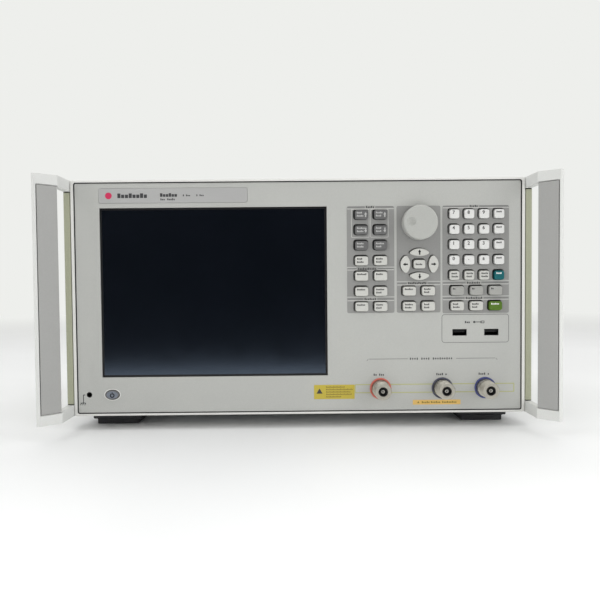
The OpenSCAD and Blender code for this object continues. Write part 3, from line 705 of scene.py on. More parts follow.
LIP = 1.5
ENTER_LIP = 0.9
CAP_R = 1.9
CURSOR_KEYS = ("key_up", "key_right", "key_down", "key_left")
DIGITS = {"key_0": "0", "key_1": "1", "key_2": "2", "key_3": "3", "key_4": "4", "key_5": "5",
          "key_6": "6", "key_7": "7", "key_8": "8", "key_9": "9", "key_sign": "±"}
GROUPS = {
    "setup_keys": (DARK_KEY, PALE_INK, "dark_key"),
    "measurement_keys": (LIGHT_KEY, DARK_INK, "light_key"),
    "trigger_keys": (LIGHT_KEY, DARK_INK, "light_key"),
    "calibration_keys": (LIGHT_KEY, DARK_INK, "light_key"),
    "state_keys": (LIGHT_KEY, DARK_INK, "light_key"),
    "edit_keys": (LIGHT_KEY, DARK_INK, "light_key"),
    "unit_keys": (WHITE_KEY, DARK_INK, "white_key"),
    "function_keys": (PANEL_KEY, DARK_INK, "panel_key"),
    "key_preset": (GREEN_KEY, WHITE_INK, "green_key"),
    "key_help": (TEAL_KEY, WHITE_INK, "teal_key"),
    "key_enter": (LIGHT_KEY, DARK_INK, "light_key"),
}


def caps(node):
    """Centre x, centre z, width and height of each key cap in a node."""
    rows = []
    for low, high in solids(node):
        width = high.x - low.x - 2 * (ENTER_LIP if node == "key_enter" else LIP)
        rows.append(((low.x + high.x) / 2, (low.z + high.z) / 2, width, high.z - low.z - 2 * LIP))
    return rows


LEFT_X, TOP_Z = caps("setup_keys")[0][:2]
LEFT_PITCH = caps("setup_keys")[1][0] - LEFT_X
ROW = caps("key_7")[0][1] - caps("key_4")[0][1]
CENTRE_X = caps("calibration_keys")[0][0]
ENTRY_X = caps("key_7")[0][0]
BOTTOM_Z = TOP_Z - 6 * ROW
KNOB = middle("tuning_knob")

# The three grey blocks of the keypad as (name, low corner, high corner)
BLOCK_TOP = TOP_Z + 8.1
BLOCKS = (
    ("left", (LEFT_X - 13.6, BOTTOM_Z - 5.9), (LEFT_X + 30.9, BLOCK_TOP)),
    ("centre", (CENTRE_X - 11.6, BOTTOM_Z - 5.9), (CENTRE_X + 29.6, BLOCK_TOP)),
    ("right", (ENTRY_X - 10.9, BOTTOM_Z - 6.8), (ENTRY_X + 51.8, BLOCK_TOP)),
)

# Room that the printed film leaves around a key: more above and to the left of it, where the dark mat shows
# as a painted shadow of the key
PAINTED_SHADOW_ROOM = 1.6
SLIM_ROOM = 0.4


def key_cutter():
    """One cutter for every key's hole in the printed film."""
    parts = []
    grow = (PAINTED_SHADOW_ROOM + SLIM_ROOM) / 2
    # The holes are shifted up and to the left, so the dark mat shows there as a painted shadow of each key
    shift = (PAINTED_SHADOW_ROOM - SLIM_ROOM) / 2
    for node in (*DIGITS, "key_point", *GROUPS):
        for x, z, width, height in caps(node):
            half = (width / 2 + grow, height / 2 + grow)
            parts.append(rounded_slab("cut", (x - shift - half[0], FACE - 2, z + shift - half[1]),
                                      (x - shift + half[0], FACE + 2, z + shift + half[1]),
                                      CAP_R + grow))
    for node in CURSOR_KEYS:
        low, high = extent(node)
        centre = (low + high) / 2
        part = node_copy(node, "cut")
        enter(part)
        bpy.ops.mesh.select_all(action="SELECT")
        bpy.ops.transform.resize(value=(1 + 0.5 / (high.x - low.x), 1, 1 + 0.5 / (high.z - low.z)),
                                 center_override=centre * MM)
        bpy.ops.transform.resize(value=(1, 3, 1), center_override=Vector((centre.x, PANEL_BACK + 0.3,
                                                                          centre.z)) * MM)
        bpy.ops.transform.translate(value=Vector((-shift, 0, shift)) * MM)
        leave()
        parts.append(part)
    parts.append(turned("cut", KNOB.x, KNOB.z, [(7.5, FACE - 2), (7.5, FACE + 2)]))
    return joined(parts, "cut")


def surround(name, low, high):
    """Dark mat of one block with the panel's own key holes in it; where the film leaves it bare round a key
    it is painted shadow, widest above and to the left.
    """
    piece = node_copy("front_panel", name)
    enter(piece)
    bpy.ops.mesh.select_all(action="SELECT")
    bpy.ops.mesh.quads_convert_to_tris()
    pick(piece, "FACE", lambda place, way: way.y > -0.9 or place.y > FACE + 0.1)
    bpy.ops.mesh.delete(type="FACE")
    for axis, x, z in ((0, low[0], 0), (0, high[0], 0), (2, 0, low[1]), (2, 0, high[1])):
        away = Vector((0, 0, 0))
        away[axis] = -1 if (x, z) in ((low[0], 0), (0, low[1])) else 1
        bpy.ops.mesh.select_all(action="SELECT")
        bpy.ops.mesh.bisect(plane_co=Vector((x, FACE, z)) * MM, plane_no=away, clear_outer=True)
    leave()
    modify(piece, "SOLIDIFY", thickness=MAT_T * MM, offset=1.0)
    return fitted(painted(piece, SEAL_AND_SHADE_BLACK), "socket_black")


def keypad_films():
    cutter = key_cutter()
    for side, low, high in BLOCKS:
        inner = ((low[0] + 0.4, low[1] + 0.4), (high[0] - 0.4, high[1] - 0.4))
        surround(f"keymat_{side}", *inner)
        piece = film(f"keypad_film_{side}", low, high, KEYPAD_PAINT, radius=1.7, face=FACE - MAT_T,
                     thick=OVERLAY_T - MAT_T)
        modify(piece, "BOOLEAN", object=cutter, operation="DIFFERENCE", solver="EXACT")
        fitted(piece, "panel_paint")
    bpy.data.objects.remove(cutter)


# ---------- keypad: printing between the keys ----------

FILM_FACE = FACE - OVERLAY_T


def header(name, low_x, high_x, z, title_x, letters, light_drop):
    """Section header: a title between two dark bars, with a light line under them."""
    end = title_x + letters * 1.62
    fitted(film(f"header_patch_{name}", (title_x - 0.9, z - 1.15), (end + 0.5, z + 1.15), STRIP_INK,
                radius=0.3, face=FILM_FACE), "panel_paint")
    title = word(title_x, z, letters, 1.95, bold=0.95)
    stamped(f"header_title_{name}", title, DARK_INK, face=FILM_FACE - INK)
    shapes = []
    for x0, x1 in ((low_x + 0.8, title_x - 1.4), (end + 1.2, high_x - 0.8)):
        shapes.append(bar((x0 + x1) / 2, z, x1 - x0, 0.9))
    stamped(f"header_{name}", shapes, GREY_INK, face=FILM_FACE)
    fitted(film(f"header_line_{name}", (low_x + 0.3, z - light_drop - 0.35),
                (high_x - 0.3, z - light_drop + 0.35), LIGHT_INK, face=FILM_FACE), "panel_paint")


def keypad_printing():
    (_, left_low, left_high), (_, centre_low, centre_high), (_, right_low, right_high) = BLOCKS
    headers = (
        ("setup", left_low[0], left_high[0], TOP_Z + 7.4, LEFT_X + 4.4, 5, 1.7),
        ("measurement", left_low[0], left_high[0], TOP_Z - 3.5 * ROW - 0.1, LEFT_X - 3.4, 11, 1.1),
        ("trigger", left_low[0], left_high[0], TOP_Z - 5.5 * ROW + 0.1, LEFT_X + 2.6, 7, 1.5),
        ("calibration", centre_low[0], centre_high[0], TOP_Z - 4.5 * ROW + 0.4, CENTRE_X - 1, 11, 1.7),
        ("entry", right_low[0], right_high[0], TOP_Z + 7.5, ENTRY_X + 14.6, 5, 1.5),
        ("function", right_low[0], right_high[0], TOP_Z - 4.5 * ROW + 0.3, ENTRY_X + 12, 8, 1.4),
        ("state", right_low[0], right_high[0], TOP_Z - 5.5 * ROW + 0.3, ENTRY_X + 11, 10, 1.5),
    )
    for row in headers:
        header(*row)
    gaps = ((left_low, left_high, TOP_Z - 3.5 * ROW + 1.2),
            (left_low, left_high, TOP_Z - 5.5 * ROW + 1.9),
            (centre_low, centre_high, TOP_Z - 4.5 * ROW + 1.7),
            (right_low, right_high, TOP_Z - 4.5 * ROW + 2.0),
            (right_low, right_high, TOP_Z - 5.5 * ROW + 1.9))
    for i, (low, high, z) in enumerate(gaps):
        fitted(film(f"block_gap_{i}", (low[0], z - 0.5), (high[0], z + 0.5), PANEL_PAINT,
                    face=FILM_FACE), "panel_paint")
    for i in (0, 1):
        x = LEFT_X + i * LEFT_PITCH
        fitted(film(f"setup_outline_{i}", (x - 9.4, TOP_Z - 1.5 * ROW + 0.4), (x + 7.6, TOP_Z + 5.4),
                    LIGHT_INK, radius=0.8, border=0.5, face=FILM_FACE), "panel_paint")


# ---------- keys ----------

def cap(name, x, z, width, height, finish):
    """Key cap with rounded edges and a dished face, and the lip behind the panel that keeps it in."""
    half = (width / 2, height / 2)
    piece = rounded_slab(name, (x - half[0], KEY_FACE, z - half[1]),
                         (x + half[0], KEY_BACK - 1.0, z + half[1]), CAP_R)
    enter(piece)
    pick(piece, "EDGE", lambda place, way: place.y < KEY_FACE + 0.01 and abs(way.y) < 0.1)
    bpy.ops.mesh.bevel(offset=0.55 * MM, segments=4, affect="EDGES")
    pick(piece, "FACE", lambda place, way: place.y < KEY_FACE + 0.01 and way.y < -0.99)
    bpy.ops.mesh.inset(thickness=0.9 * MM)
    bpy.ops.transform.translate(value=(0, 0.12 * MM, 0))
    leave()
    lip = rounded_slab("lip", (x - half[0] - 0.9, KEY_BACK - 1.0, z - half[1] - LIP),
                       (x + half[0] + 0.9, KEY_BACK, z + half[1] + LIP), CAP_R)
    return painted(joined([piece, lip], name), finish)


# Where the first line of a legend stands on its cap, and how far the second one is below it
LEGEND_FACE = KEY_FACE + 0.12
LEGEND_IN = 1.6
LEGEND_UP = 1.9
LEGEND_STEP = 2.9


def legend_lines(x, z, width, lines):
    """Two or one lines of letter-sized blocks at the upper left of a cap."""
    shapes = []
    for i, letters in enumerate(lines):
        shapes += word(x - width / 2 + LEGEND_IN, z + LEGEND_UP - i * LEGEND_STEP, letters, 1.55, bold=1.1)
    return shapes


def letters_of(node, index):
    """How many letters stand on each line of a key's legend."""
    single = {"unit_keys": (4,), "function_keys": (2,), "key_help": (4,), "key_enter": (5,)}
    if node in single:
        return single[node]
    if node == "measurement_keys" and index in (2, 3, 4):
        return (5 + index % 3,)
    if node == "key_preset" or (node in ("trigger_keys", "calibration_keys") and index == 0):
        return (6,)
    return (4 + index % 3, 4 + (index + 1) % 2)


def group_keys():
    """The keys that share a CAD node, and the single ones with worded caps."""
    for node, (finish, ink, slot) in GROUPS.items():
        rows = caps(node)
        first = cap("cap", *rows[0], finish)
        pieces = [moved(first, "cap", x - rows[0][0], 0, z - rows[0][1]) for x, z, _, _ in rows[1:]]
        shapes = []
        for i, (x, z, width, _) in enumerate(rows):
            middle_z = z - LEGEND_UP if node == "key_enter" else z
            shapes += legend_lines(x, middle_z, width, letters_of(node, i))
            if node == "setup_keys" and i < 4:
                shapes += arrow(x + 3.9, z, 4.2, 180 if i > 1 else 0)
        legend = printed("legend", shapes, ink, face=LEGEND_FACE)
        for piece in pieces:
            painted(piece, finish)
        piece = joined([first, *pieces, legend], f"{node}_caps" if node.endswith("s") else f"{node}_cap")
        smooth(piece, 40)
        fitted(piece, slot, node)


def digit_keys():
    x0, z0, width, height = caps("key_7")[0]
    first = cap("cap", x0, z0, width, height, WHITE_KEY)
    for node in (*DIGITS, "key_point"):
        x, z = caps(node)[0][:2]
        shell = painted(moved(first, "cap", x - x0, 0, z - z0), WHITE_KEY)
        if node == "key_point":
            mark = printed("legend", [dot(x - 0.9, z + 0.4, 0.45)], DARK_INK, face=LEGEND_FACE)
        else:
            mark = figure("legend", DIGITS[node], x - 0.9, z + 1.3, 3.1, BLACK_INK, LEGEND_FACE)
        piece = joined([shell, mark], f"{node}_cap")
        smooth(piece, 40)
        fitted(piece, "white_key", node)
    bpy.data.objects.remove(first)


def cursor_keys():
    for turn, node in enumerate(CURSOR_KEYS):
        centre = middle(node)
        shell = painted(node_copy(node, "cap"), LIGHT_KEY)
        round_edges(shell, 0.5, 4, angle=50)
        mark = printed("legend", arrow(centre.x, centre.z, 4.4, turn * 90), BLACK_INK, face=KEY_FACE)
        piece = joined([shell, mark], f"{node}_cap")
        smooth(piece, 40)
        fitted(piece, "light_key", node)


# ---------- knob and power button ----------

def knob():
    low, high = extent("tuning_knob")
    x, z = KNOB.x, KNOB.z
    outer = (high.x - low.x) / 2
    front, back = low.y, high.y
    shell = turned("tuning_knob_shell", x, z, [
        (outer - 1.5, front), (outer - 0.95, front + 0.12), (outer - 0.45, front + 0.45),
        (outer - 0.12, front + 0.95), (outer, front + 1.5), (outer, back - 0.4),
        (outer - 0.4, back), (outer - 2, back), (outer - 2, front + 3.5), (5, front + 3.5),
        (5, back - 1.8), (3.02, back - 1.8), (3.02, front + 2)], sides=96)
    dimple = Vector((x - 8.4, front - 2.7, z + 0.5))
    bpy.ops.mesh.primitive_uv_sphere_add(segments=64, ring_count=48, radius=5 * MM, location=dimple * MM)
    ball = added("ball")
    modify(shell, "BOOLEAN", object=ball, operation="DIFFERENCE", solver="EXACT")
    bpy.data.objects.remove(ball)
    round_edges(painted(shell, KNOB_PLASTIC), 0.12, 2, angle=30)
    fitted(shell, "knob_plastic", "tuning_knob")
    softened("encoder_shaft", "encoder_spindle", 0.3, 2, STEEL, "shaft_steel")
    body = softened("encoder_body", "rotary_encoder", 0.2, 2, DARK_METAL, "dark_metal")
    repaint(body, BLACK_PLASTIC, lambda place, way: place.y > PANEL_BACK + 6)


def squashed(piece, x, z, ratio):
    """Turns a round piece into an elliptical one by flattening it from top to bottom."""
    enter(piece)
    bpy.ops.mesh.select_all(action="SELECT")
    bpy.ops.transform.resize(value=(1, 1, ratio), center_override=Vector((x, 0, z)) * MM)
    leave()
    return piece


def power_button():
    low, high = extent("power_button")
    x, z = (low.x + high.x) / 2, (low.z + high.z) / 2
    half_w = (high.x - low.x) / 2 - 1.5
    half_h = (high.z - low.z) / 2 - 1.5
    ratio = half_h / half_w
    front = low.y
    button = squashed(turned("button", x, z, [
        (half_w * 0.8, front), (half_w - 0.5, front + 0.12), (half_w - 0.1, front + 0.5),
        (half_w, front + 1.0), (half_w, PANEL_BACK + 0.3)]), x, z, ratio)
    flange = rounded_slab("flange", (low.x, PANEL_BACK + 0.3, low.z),
                          (high.x, PANEL_BACK + 1.5, high.z), 2)
    stem = turned("stem", x, z, [(1.3, PANEL_BACK + 1.2), (1.5, PANEL_BACK + 1.5), (1.5, high.y)])
    shapes = [bar(x, z + 1.4, 0.9, 2.2)]
    for i in range(13):
        a = math.radians(42 + i * 276 / 12)
        shapes.append(bar(x + 1.7 * math.sin(a), z - 0.5 + 1.7 * math.cos(a), 1.0, 0.95,
                          math.degrees(a)))
    mark = printed("symbol", shapes, BLACK_INK, face=front)
    for part in (button, flange, stem):
        painted(part, BUTTON_PLASTIC)
    repaint(button, DARK_KEY, lambda place, way: place.y > front + 0.01
            and math.hypot((place.x - x) / half_w, (place.z - z) / half_h) > 0.82)
    piece = joined([button, flange, stem, mark], "power_button_cap")
    smooth(piece, 40)
    fitted(piece, "power_button_plastic", "power_button")
    rings = [(half_w + 0.45, FACE - 0.02), (half_w + 0.05, FACE - 0.1), (half_w + 0.05, FACE + 0.4),
             (half_w + 0.45, FACE + 0.4), (half_w + 0.45, FACE - 0.02)]
    seal = squashed(turned("power_seal", x, z, rings, hollow=True), x, z,
                    (half_h + 0.25) / (half_w + 0.25))
    fitted(painted(seal, SEAL_AND_SHADE_BLACK), "socket_black")
    rings = [(half_w + 0.35, FACE + 0.3), (half_w + 0.35, FACE - 0.12), (half_w + 0.6, FACE - 0.22),
             (half_w + 1.15, FACE - 0.22), (half_w + 1.35, FACE - 0.05), (half_w + 1.35, FACE + 0.3),
             (half_w + 0.35, FACE + 0.3)]
    bezel = squashed(turned("power_bezel", x, z, rings, hollow=True), x, z, (half_h + 0.9) / (half_w + 0.9))
    fitted(painted(bezel, FRAME_PAINT), "frame_paint")


# ---------- printing on the panel ----------

def panel_printing():
    usb_low, usb_high = extent("usb_sockets")
    left, right = usb_low.x - 10.4, usb_high.x + 10
    fitted(film("usb_outline", (left, usb_low.z - 6.9), (right, usb_high.z + 14.3), GREY_INK,
                radius=2.8, border=0.6), "dark_metal")
    mid_x = (usb_low.x + usb_high.x) / 2
    mark_z = usb_high.z + 6.8
    socket_mark = word(mid_x - 10.2, mark_z, 3, 2.1) + [
        dot(mid_x - 1.2, mark_z, 1.05), bar(mid_x + 2.6, mark_z, 7, 0.6),
        bar(mid_x + 6.6, mark_z + 0.9, 3.4, 0.55), bar(mid_x + 6.6, mark_z - 0.9, 3.4, 0.55),
        bar(mid_x + 8.1, mark_z, 0.55, 2.3), bar(mid_x + 5.1, mark_z, 0.55, 2.3)]
    stamped("usb_mark", socket_mark, DARK_INK)

    ports = [middle(n) for n in ("rf_out_connector", "port_1_connector", "port_2_connector")]
    axis_z = ports[0].z
    line_z = axis_z + 28
    start, end = ports[0].x - 12.4, ports[2].x + 11
    shapes = [bar(start + 20, line_z, 36.5, 0.55), bar(end - 20, line_z, 37, 0.55),
              bar(start + 0.3, line_z - 0.8, 2.4, 0.5, -50), bar(end - 0.2, line_z - 0.8, 2.4, 0.5, 50)]
    title_x, pitch, gap = start + 40.8, 2.14, 2.3
    title = []
    for letters in (4, 4, 9):
        title += [bar(title_x + i * pitch, line_z, 1.1, 1.6 if i % 3 else 2.0) for i in range(letters)]
        title_x += letters * pitch + gap
    stamped("port_header", shapes, GREY_INK)
    stamped("port_header_title", title, DARK_INK)
    for i, (port, shift) in enumerate(zip(ports, (-6.6, -5.8, -6.3))):
        label = word(port.x + shift, axis_z + 13.2, 6, 2.1, bold=0.9)
        label.pop(4 if i else 2)
        stamped(f"port_label_{i}", label, DARK_INK)
    fitted(film("port_band", (ports[0].x - 24.3, axis_z - 4.3), (ports[2].x + 27.7, axis_z + 4.3),
                LIME_INK, radius=0.6, border=0.9), "trim_olive")

    jack = middle("ground_jack")
    x, z = jack.x - 5.7, jack.z
    earth = [bar(x + 0.7, z - 0.1, 2.1, 0.7), bar(x, z - 3.9, 0.7, 7.8), bar(x - 0.3, z - 7.7, 5.0, 0.7)]
    earth += [bar(x - 2.5 + 2.0 * i, z - 8.8, 0.65, 2.2, 25) for i in range(3)]
    stamped("earth_mark", earth, DARK_INK)


def stickers():
    """Two adhesive labels with no readable print."""
    port = middle("port_1_connector")
    low, high = (port.x - 121.4, port.z - 9.5), (port.x - 83, port.z + 4)
    fitted(film("sticker_static", low, high, YELLOW_LABEL, radius=0.6, thick=LABEL_T), "panel_paint")
    face = FACE - LABEL_T
    shapes = [("wedge", low[0] + 5.2, low[1] + 6.9, 3.3, 3.3, 0)]
    stamped("sticker_static_mark", shapes, DARK_INK, face=face)
    shapes = []
    for i, letters in enumerate((16, 23, 21, 22, 13)):
        shapes += word(low[0] + 11.4, high[1] - 2.1 - i * 2.3, letters, 1.35)
    stamped("sticker_static_print", shapes, OLIVE_INK, face=face)
    low, high = (port.x - 28, port.z - 15.6), (port.x + 17.2, port.z - 11.1)
    fitted(film("sticker_discharge", low, high, TAN_LABEL, radius=0.4, thick=LABEL_T), "panel_paint")
    mid_z = (low[1] + high[1]) / 2
    shapes = word(low[0] + 8.4, mid_z, 5, 1.9) + word(low[0] + 17, mid_z, 6, 1.9)
    shapes += word(low[0] + 27.6, mid_z, 9, 1.9)
    shapes.append(("wedge", low[0] + 5.2, mid_z - 0.2, 1.3, 1.3, 0))
    stamped("sticker_discharge_print", shapes, OLIVE_INK, face=face)


def nameplate_printing():
    low, high = extent("nameplate")
    z = (low.z + high.z) / 2
    fitted(printed("nameplate_dot", [dot(low.x + 9.2, z, 3.1)], RED_INK, face=low.y), "nameplate_satin")
    shapes = word(low.x + 17.6, z, 8, 4.3, bold=1.15)
    shapes += word(low.x + 57.4, z + 0.4, 6, 3.3, bold=1.2)
    shapes += word(low.x + 57.6, z - 3.6, 3, 1.8) + word(low.x + 64, z - 3.6, 5, 1.8)
    shapes += word(low.x + 78.6, z - 0.1, 1, 1.7) + word(low.x + 81.6, z - 0.1, 3, 1.7)
    shapes += word(low.x + 91.2, z - 0.1, 1, 1.7) + word(low.x + 94.2, z - 0.1, 3, 1.7)
    stamped("nameplate_print", shapes, DARK_INK, face=low.y)


# ---------- display ----------

def display():
    low, high = extent("display_window")
    lip_low, lip_high = PANEL_BACK, high.y
    pane = slab("display_glass", (low.x + 3.2, low.y, low.z + 3.2), (high.x - 3.2, PANEL_BACK, high.z - 3.2))
    painted(pane, GLASS)
    enter(pane)
    pick(pane, "EDGE", lambda place, way: place.y < low.y + 0.01)
    bpy.ops.mesh.bevel(offset=0.25 * MM, segments=3, affect="EDGES")
    pick(pane, "FACE", lambda place, way: place.y < low.y + 0.01 and way.y < -0.99)
    bpy.ops.mesh.inset(thickness=1.6 * MM)
    leave()
    inner_low, inner_high = (low.x + 4.6, low.z + 4.6), (high.x - 4.6, high.z - 4.6)
    repaint(pane, BLACK_PLASTIC, lambda place, way: not (inner_low[0] < place.x < inner_high[0]
                                                         and inner_low[1] < place.z < inner_high[1]))
    rim = rounded_slab("rim", (low.x, lip_low, low.z), (high.x, lip_high, high.z), 1)
    painted(rim, BLACK_PLASTIC)
    round_edges(rim, 0.2, 2)
    fitted(joined([pane, rim], "display_filter"), "screen_glass", "display_window")

    low, high = extent("lcd_module")
    module = softened("lcd_module", "lcd_tray", 0.4, 2, ALUMINIUM, "sheet_steel")
    repaint(module, BOARD, lambda place, way: place.y > high.y - 4.2 and place.z < (low.z + high.z) / 2)
    repaint(module, BLACK_PLASTIC, lambda place, way: way.y < -0.9 and place.y < low.y + 0.5)


# ---------- sockets on the front ----------

def coaxial_port(name, x, z, front):
    """Type N socket: chamfered thread, shoulder, square flange, dielectric and a hollow contact round a pin.
    """
    thread = 7.94
    rings = [(4.3, front + 11), (4.3, front + 0.35), (4.65, front), (7.1, front), (7.5, front + 0.5),
             (7.5, front + 1.4)]
    # Ridges of the thread, a little closer together than 24 to the inch
    pitch = 24.9 / 24
    for i in range(9):
        y = front + 1.6 + i * pitch
        rings += [(7.6, y), (thread, y + 0.36), (thread, y + 0.57), (7.6, y + 0.93)]
    rings += [(7.35, front + 11.6), (7.35, front + 12.8), (8.0, front + 13), (8.2, front + 13.3),
              (8.2, FACE + 17.5), (3.2, FACE + 17.5), (3.2, FACE + 26.5)]
    barrel = painted(turned("barrel", x, z, rings, sides=72), NICKEL)
    half = 12.7
    flange = rounded_slab("flange", (x - half, PANEL_BACK, z - half),
                          (x + half, PANEL_BACK + 1.6, z + half), 2)
    round_edges(painted(flange, NICKEL), 0.25, 2)
    liner = turned("liner", x, z, [
        (4.28, front + 0.6), (4.28, front + 10.8), (3.2, front + 10.8), (3.2, front + 4.6),
        (3.9, front + 4.4), (3.9, front + 0.8), (4.28, front + 0.6)], sides=48, hollow=True)
    bead = turned("bead", x, z, [(3.3, front + 6), (3.3, front + 11.2)], sides=48)
    sleeve = turned("sleeve", x, z, [
        (1.62, front + 1.4), (1.62, front + 10), (0.86, front + 10), (0.86, front + 1.4),
        (0.96, front + 1.2), (1.5, front + 1.2), (1.62, front + 1.4)], sides=40, hollow=True)
    pin = turned("pin", x, z, [(0.25, front + 1.9), (0.42, front + 2.1), (0.42, front + 10)], sides=32)
    parts = [barrel, flange, painted(liner, PTFE), painted(bead, PTFE), painted(sleeve, CONTACT_WHITE),
             painted(pin, DARK_METAL)]
    return joined(parts, name)


def ports():
    nodes = ("rf_out_connector", "port_1_connector", "port_2_connector")
    centre = middle(nodes[0])
    first = coaxial_port("port_body_0", centre.x, centre.z, extent(nodes[0])[0].y)
    for i, node in enumerate(nodes):
        piece = first if i == 0 else moved(first, f"port_body_{i}", middle(node).x - centre.x)
        smooth(piece, 30)
        fitted(piece, "connector_nickel", node)
    ring_low, ring_high = extent("port_rings")
    outer = (ring_high.z - ring_low.z) / 2
    for i, (node, finish) in enumerate(zip(nodes, (RED_RING, DARK_RING, BLUE_RING))):
        x, z = middle(node).x, middle(node).z
        rings = [(outer - 1.6, FACE), (outer - 1.6, ring_low.y + 0.2), (outer - 1.4, ring_low.y),
                 (outer - 0.3, ring_low.y), (outer, ring_low.y + 0.3), (outer, FACE), (outer - 1.6, FACE)]
        ring = painted(turned(f"port_ring_{i}", x, z, rings, hollow=True), finish)
        fitted(ring, "port_ring_plastic", "port_rings")


def usb_sockets():
    boxes = solids("usb_sockets")
    shells = [(a, b) for a, b in boxes if b.z - a.z > 5]
    for i, (a, b) in enumerate(shells):
        shell = slab("shell", a, b)
        enter(shell)
        pick(shell, "FACE", lambda place, way: way.y < -0.9)
        bpy.ops.mesh.inset(thickness=0.35 * MM)
        bpy.ops.mesh.extrude_region_move(TRANSFORM_OT_translate={"value": (0, 12.8 * MM, 0)})
        leave()
        round_edges(painted(shell, DARK_METAL), 0.12, 2)
        x = (a.x + b.x) / 2
        top = b.z - 0.35 - 0.7
        tongue = rounded_slab("tongue", (x - 5.55, a.y + 1.8, top - 1.8), (x + 5.55, b.y - 1, top), 0.2, 2)
        painted(tongue, BLACK_PLASTIC)
        contacts = [slab("contact", (x + o - 0.5, a.y + 2.6, top - 1.9), (x + o + 0.5, b.y - 3, top - 1.75))
                    for o in (-3.5, -1, 1, 3.5)]
        strips = painted(joined(contacts, "contacts"), GOLD)
        fitted(joined([shell, tongue, strips], f"usb_socket_{i}"), "socket_black", "usb_sockets")


def ground_jack():
    low, high = extent("ground_jack")
    x, z = (low.x + high.x) / 2, (low.z + high.z) / 2
    sleeve = turned("earth_jack", x, z, [
        (1.98, high.y - 2), (1.98, low.y + 0.3), (2.3, low.y), (3.4, low.y), (3.6, low.y + 0.2),
        (3.6, low.y + 4), (4.4, low.y + 4.1), (4.4, low.y + 5.9), (3.6, low.y + 6), (3.6, high.y - 0.3),
        (3.3, high.y)], sides=40)
    fitted(painted(sleeve, BLACK_PLASTIC), "socket_black", "ground_jack")
    ferrule = turned("earth_jack_ferrule", x, z, [
        (1.95, PANEL_BACK), (1.95, FACE - 0.05), (2.35, FACE - 0.12), (2.6, FACE), (2.6, FACE + 0.02),
        (1.95, PANEL_BACK)], sides=40, hollow=True)
    fitted(painted(ferrule, BLACK_PLASTIC), "socket_black")


# ---------- inside ----------

def inside():
    back = extent("keypad_board")[1].y
    board = softened("keypad_board", "keypad_circuit", 0.1, 1, BOARD, "circuit_board")
    repaint(board, STEEL, lambda place, way: place.y < back - 2)

    base = extent("main_board")[0].z
    board = softened("main_board", "processor_board", 0.25, 1, BOARD, "circuit_board")
    repaint(board, ALUMINIUM, lambda place, way: place.z > base + 16 and place.x < 0)
    repaint(board, BLACK_PLASTIC, lambda place, way: place.z > base + 14.5 and not -85 <= place.x <= 5)

    softened("rf_module", "rf_casting_box", 0.5, 2, ALUMINIUM, "rf_casting")
    softened("power_supply", "power_supply_case", 0.4, 2, ZINC, "sheet_steel")
    softened("fan_housing", "fan_frame", 0.5, 2, BLACK_PLASTIC, "fan_plastic")
    softened("fan_rotor", "fan_impeller", 0.3, 2, FOOT_PLASTIC, "fan_plastic")


# ---------- rear ----------

REAR_INK_FACE = REAR + INK - SINK


def bayonet_socket(name, x, z, rear, outer):
    """Small coaxial socket with a hexagon nut, a washer and a centre contact."""
    tip = outer.y
    rings = [(4.0, tip - 9), (4.0, tip - 0.3), (4.25, tip), (4.55, tip), (4.8, tip - 0.3),
             (4.8, rear - 9.4), (3, rear - 9.5)]
    barrel = painted(turned("barrel", x, z, rings, sides=48), NICKEL)
    nut = turned("nut", x, z, [(6.9, rear), (7.0, rear + 0.2), (7.0, rear + 1.7), (6.7, rear + 2)], sides=6)
    washer = turned("washer", x, z, [(6.8, rear - 3.5), (6.8, rear - 1.5)], sides=40)
    core = turned("core", x, z, [(2.3, tip - 9.2), (2.3, tip - 1.4), (2.0, tip - 1.1), (0.8, tip - 1.1),
                                 (0.8, tip - 3)], sides=32)
    parts = [barrel, painted(nut, NICKEL), painted(washer, NICKEL), painted(core, WHITE_KEY)]
    return joined(parts, name)


def rear_sockets():
    outer_y = extent("rear_connectors")[1].y
    rows = [(a, b) for a, b in solids("rear_connectors") if 9 < b.x - a.x < 15 and a.z > 180]
    x0 = (rows[0][0].x + rows[0][1].x) / 2
    z0 = (rows[0][0].z + rows[0][1].z) / 2
    first = bayonet_socket("coax_0", x0, z0, REAR, rows[0][1])
    for i, (a, b) in enumerate(rows):
        piece = first if i == 0 else moved(first, f"coax_{i}", (a.x + b.x) / 2 - x0)
        smooth(piece, 30)
        fitted(piece, "connector_nickel", "rear_connectors")
    others = node_copy("rear_connectors", "rear_data_sockets")
    enter(others)
    pick(others, "FACE", lambda place, way: place.z > z0 - 15)
    bpy.ops.mesh.delete(type="FACE")
    leave()
    round_edges(painted(others, NICKEL), 0.25, 2)
    repaint(others, BLACK_PLASTIC, lambda place, way: place.y > outer_y - 8 and way.y > 0.9)
    fitted(others, "connector_nickel", "rear_connectors")

    inlet = softened("ac_inlet", "mains_inlet", 0.3, 2, BLACK_PLASTIC, "socket_black")
    inlet_low, inlet_high = extent("ac_inlet")
    centre = (inlet_low + inlet_high) / 2
    repaint(inlet, NICKEL, lambda place, way: abs(place.x - centre.x) < 8.2 and abs(place.z - centre.z) < 4.4
            and inlet_high.y - 15 < place.y < inlet_high.y - 1)


def rear_screws():
    """Pan-head screws that hold the rear sheet along its edges."""
    low, high = extent("rear_panel")
    centre_x, centre_z = (low.x + high.x) / 2, (low.z + high.z) / 2
    places = [(centre_x + i * 62, z) for i in range(-2, 3) for z in (low.z + 6, high.z - 6)]
    places += [(low.x + 6, centre_z), (high.x - 6, centre_z)]
    for i, (x, z) in enumerate(places):
        head = turned(f"rear_screw_{i}", x, z, [
            (3.2, REAR - 0.05), (3.2, REAR + 0.5), (3.0, REAR + 1.1), (2.4, REAR + 1.65),
            (1.7, REAR + 1.9), (1.45, REAR + 1.9), (1.25, REAR + 1.0)], sides=48)
        smooth(painted(head, STEEL), 35)
        fitted(head, "dark_metal")


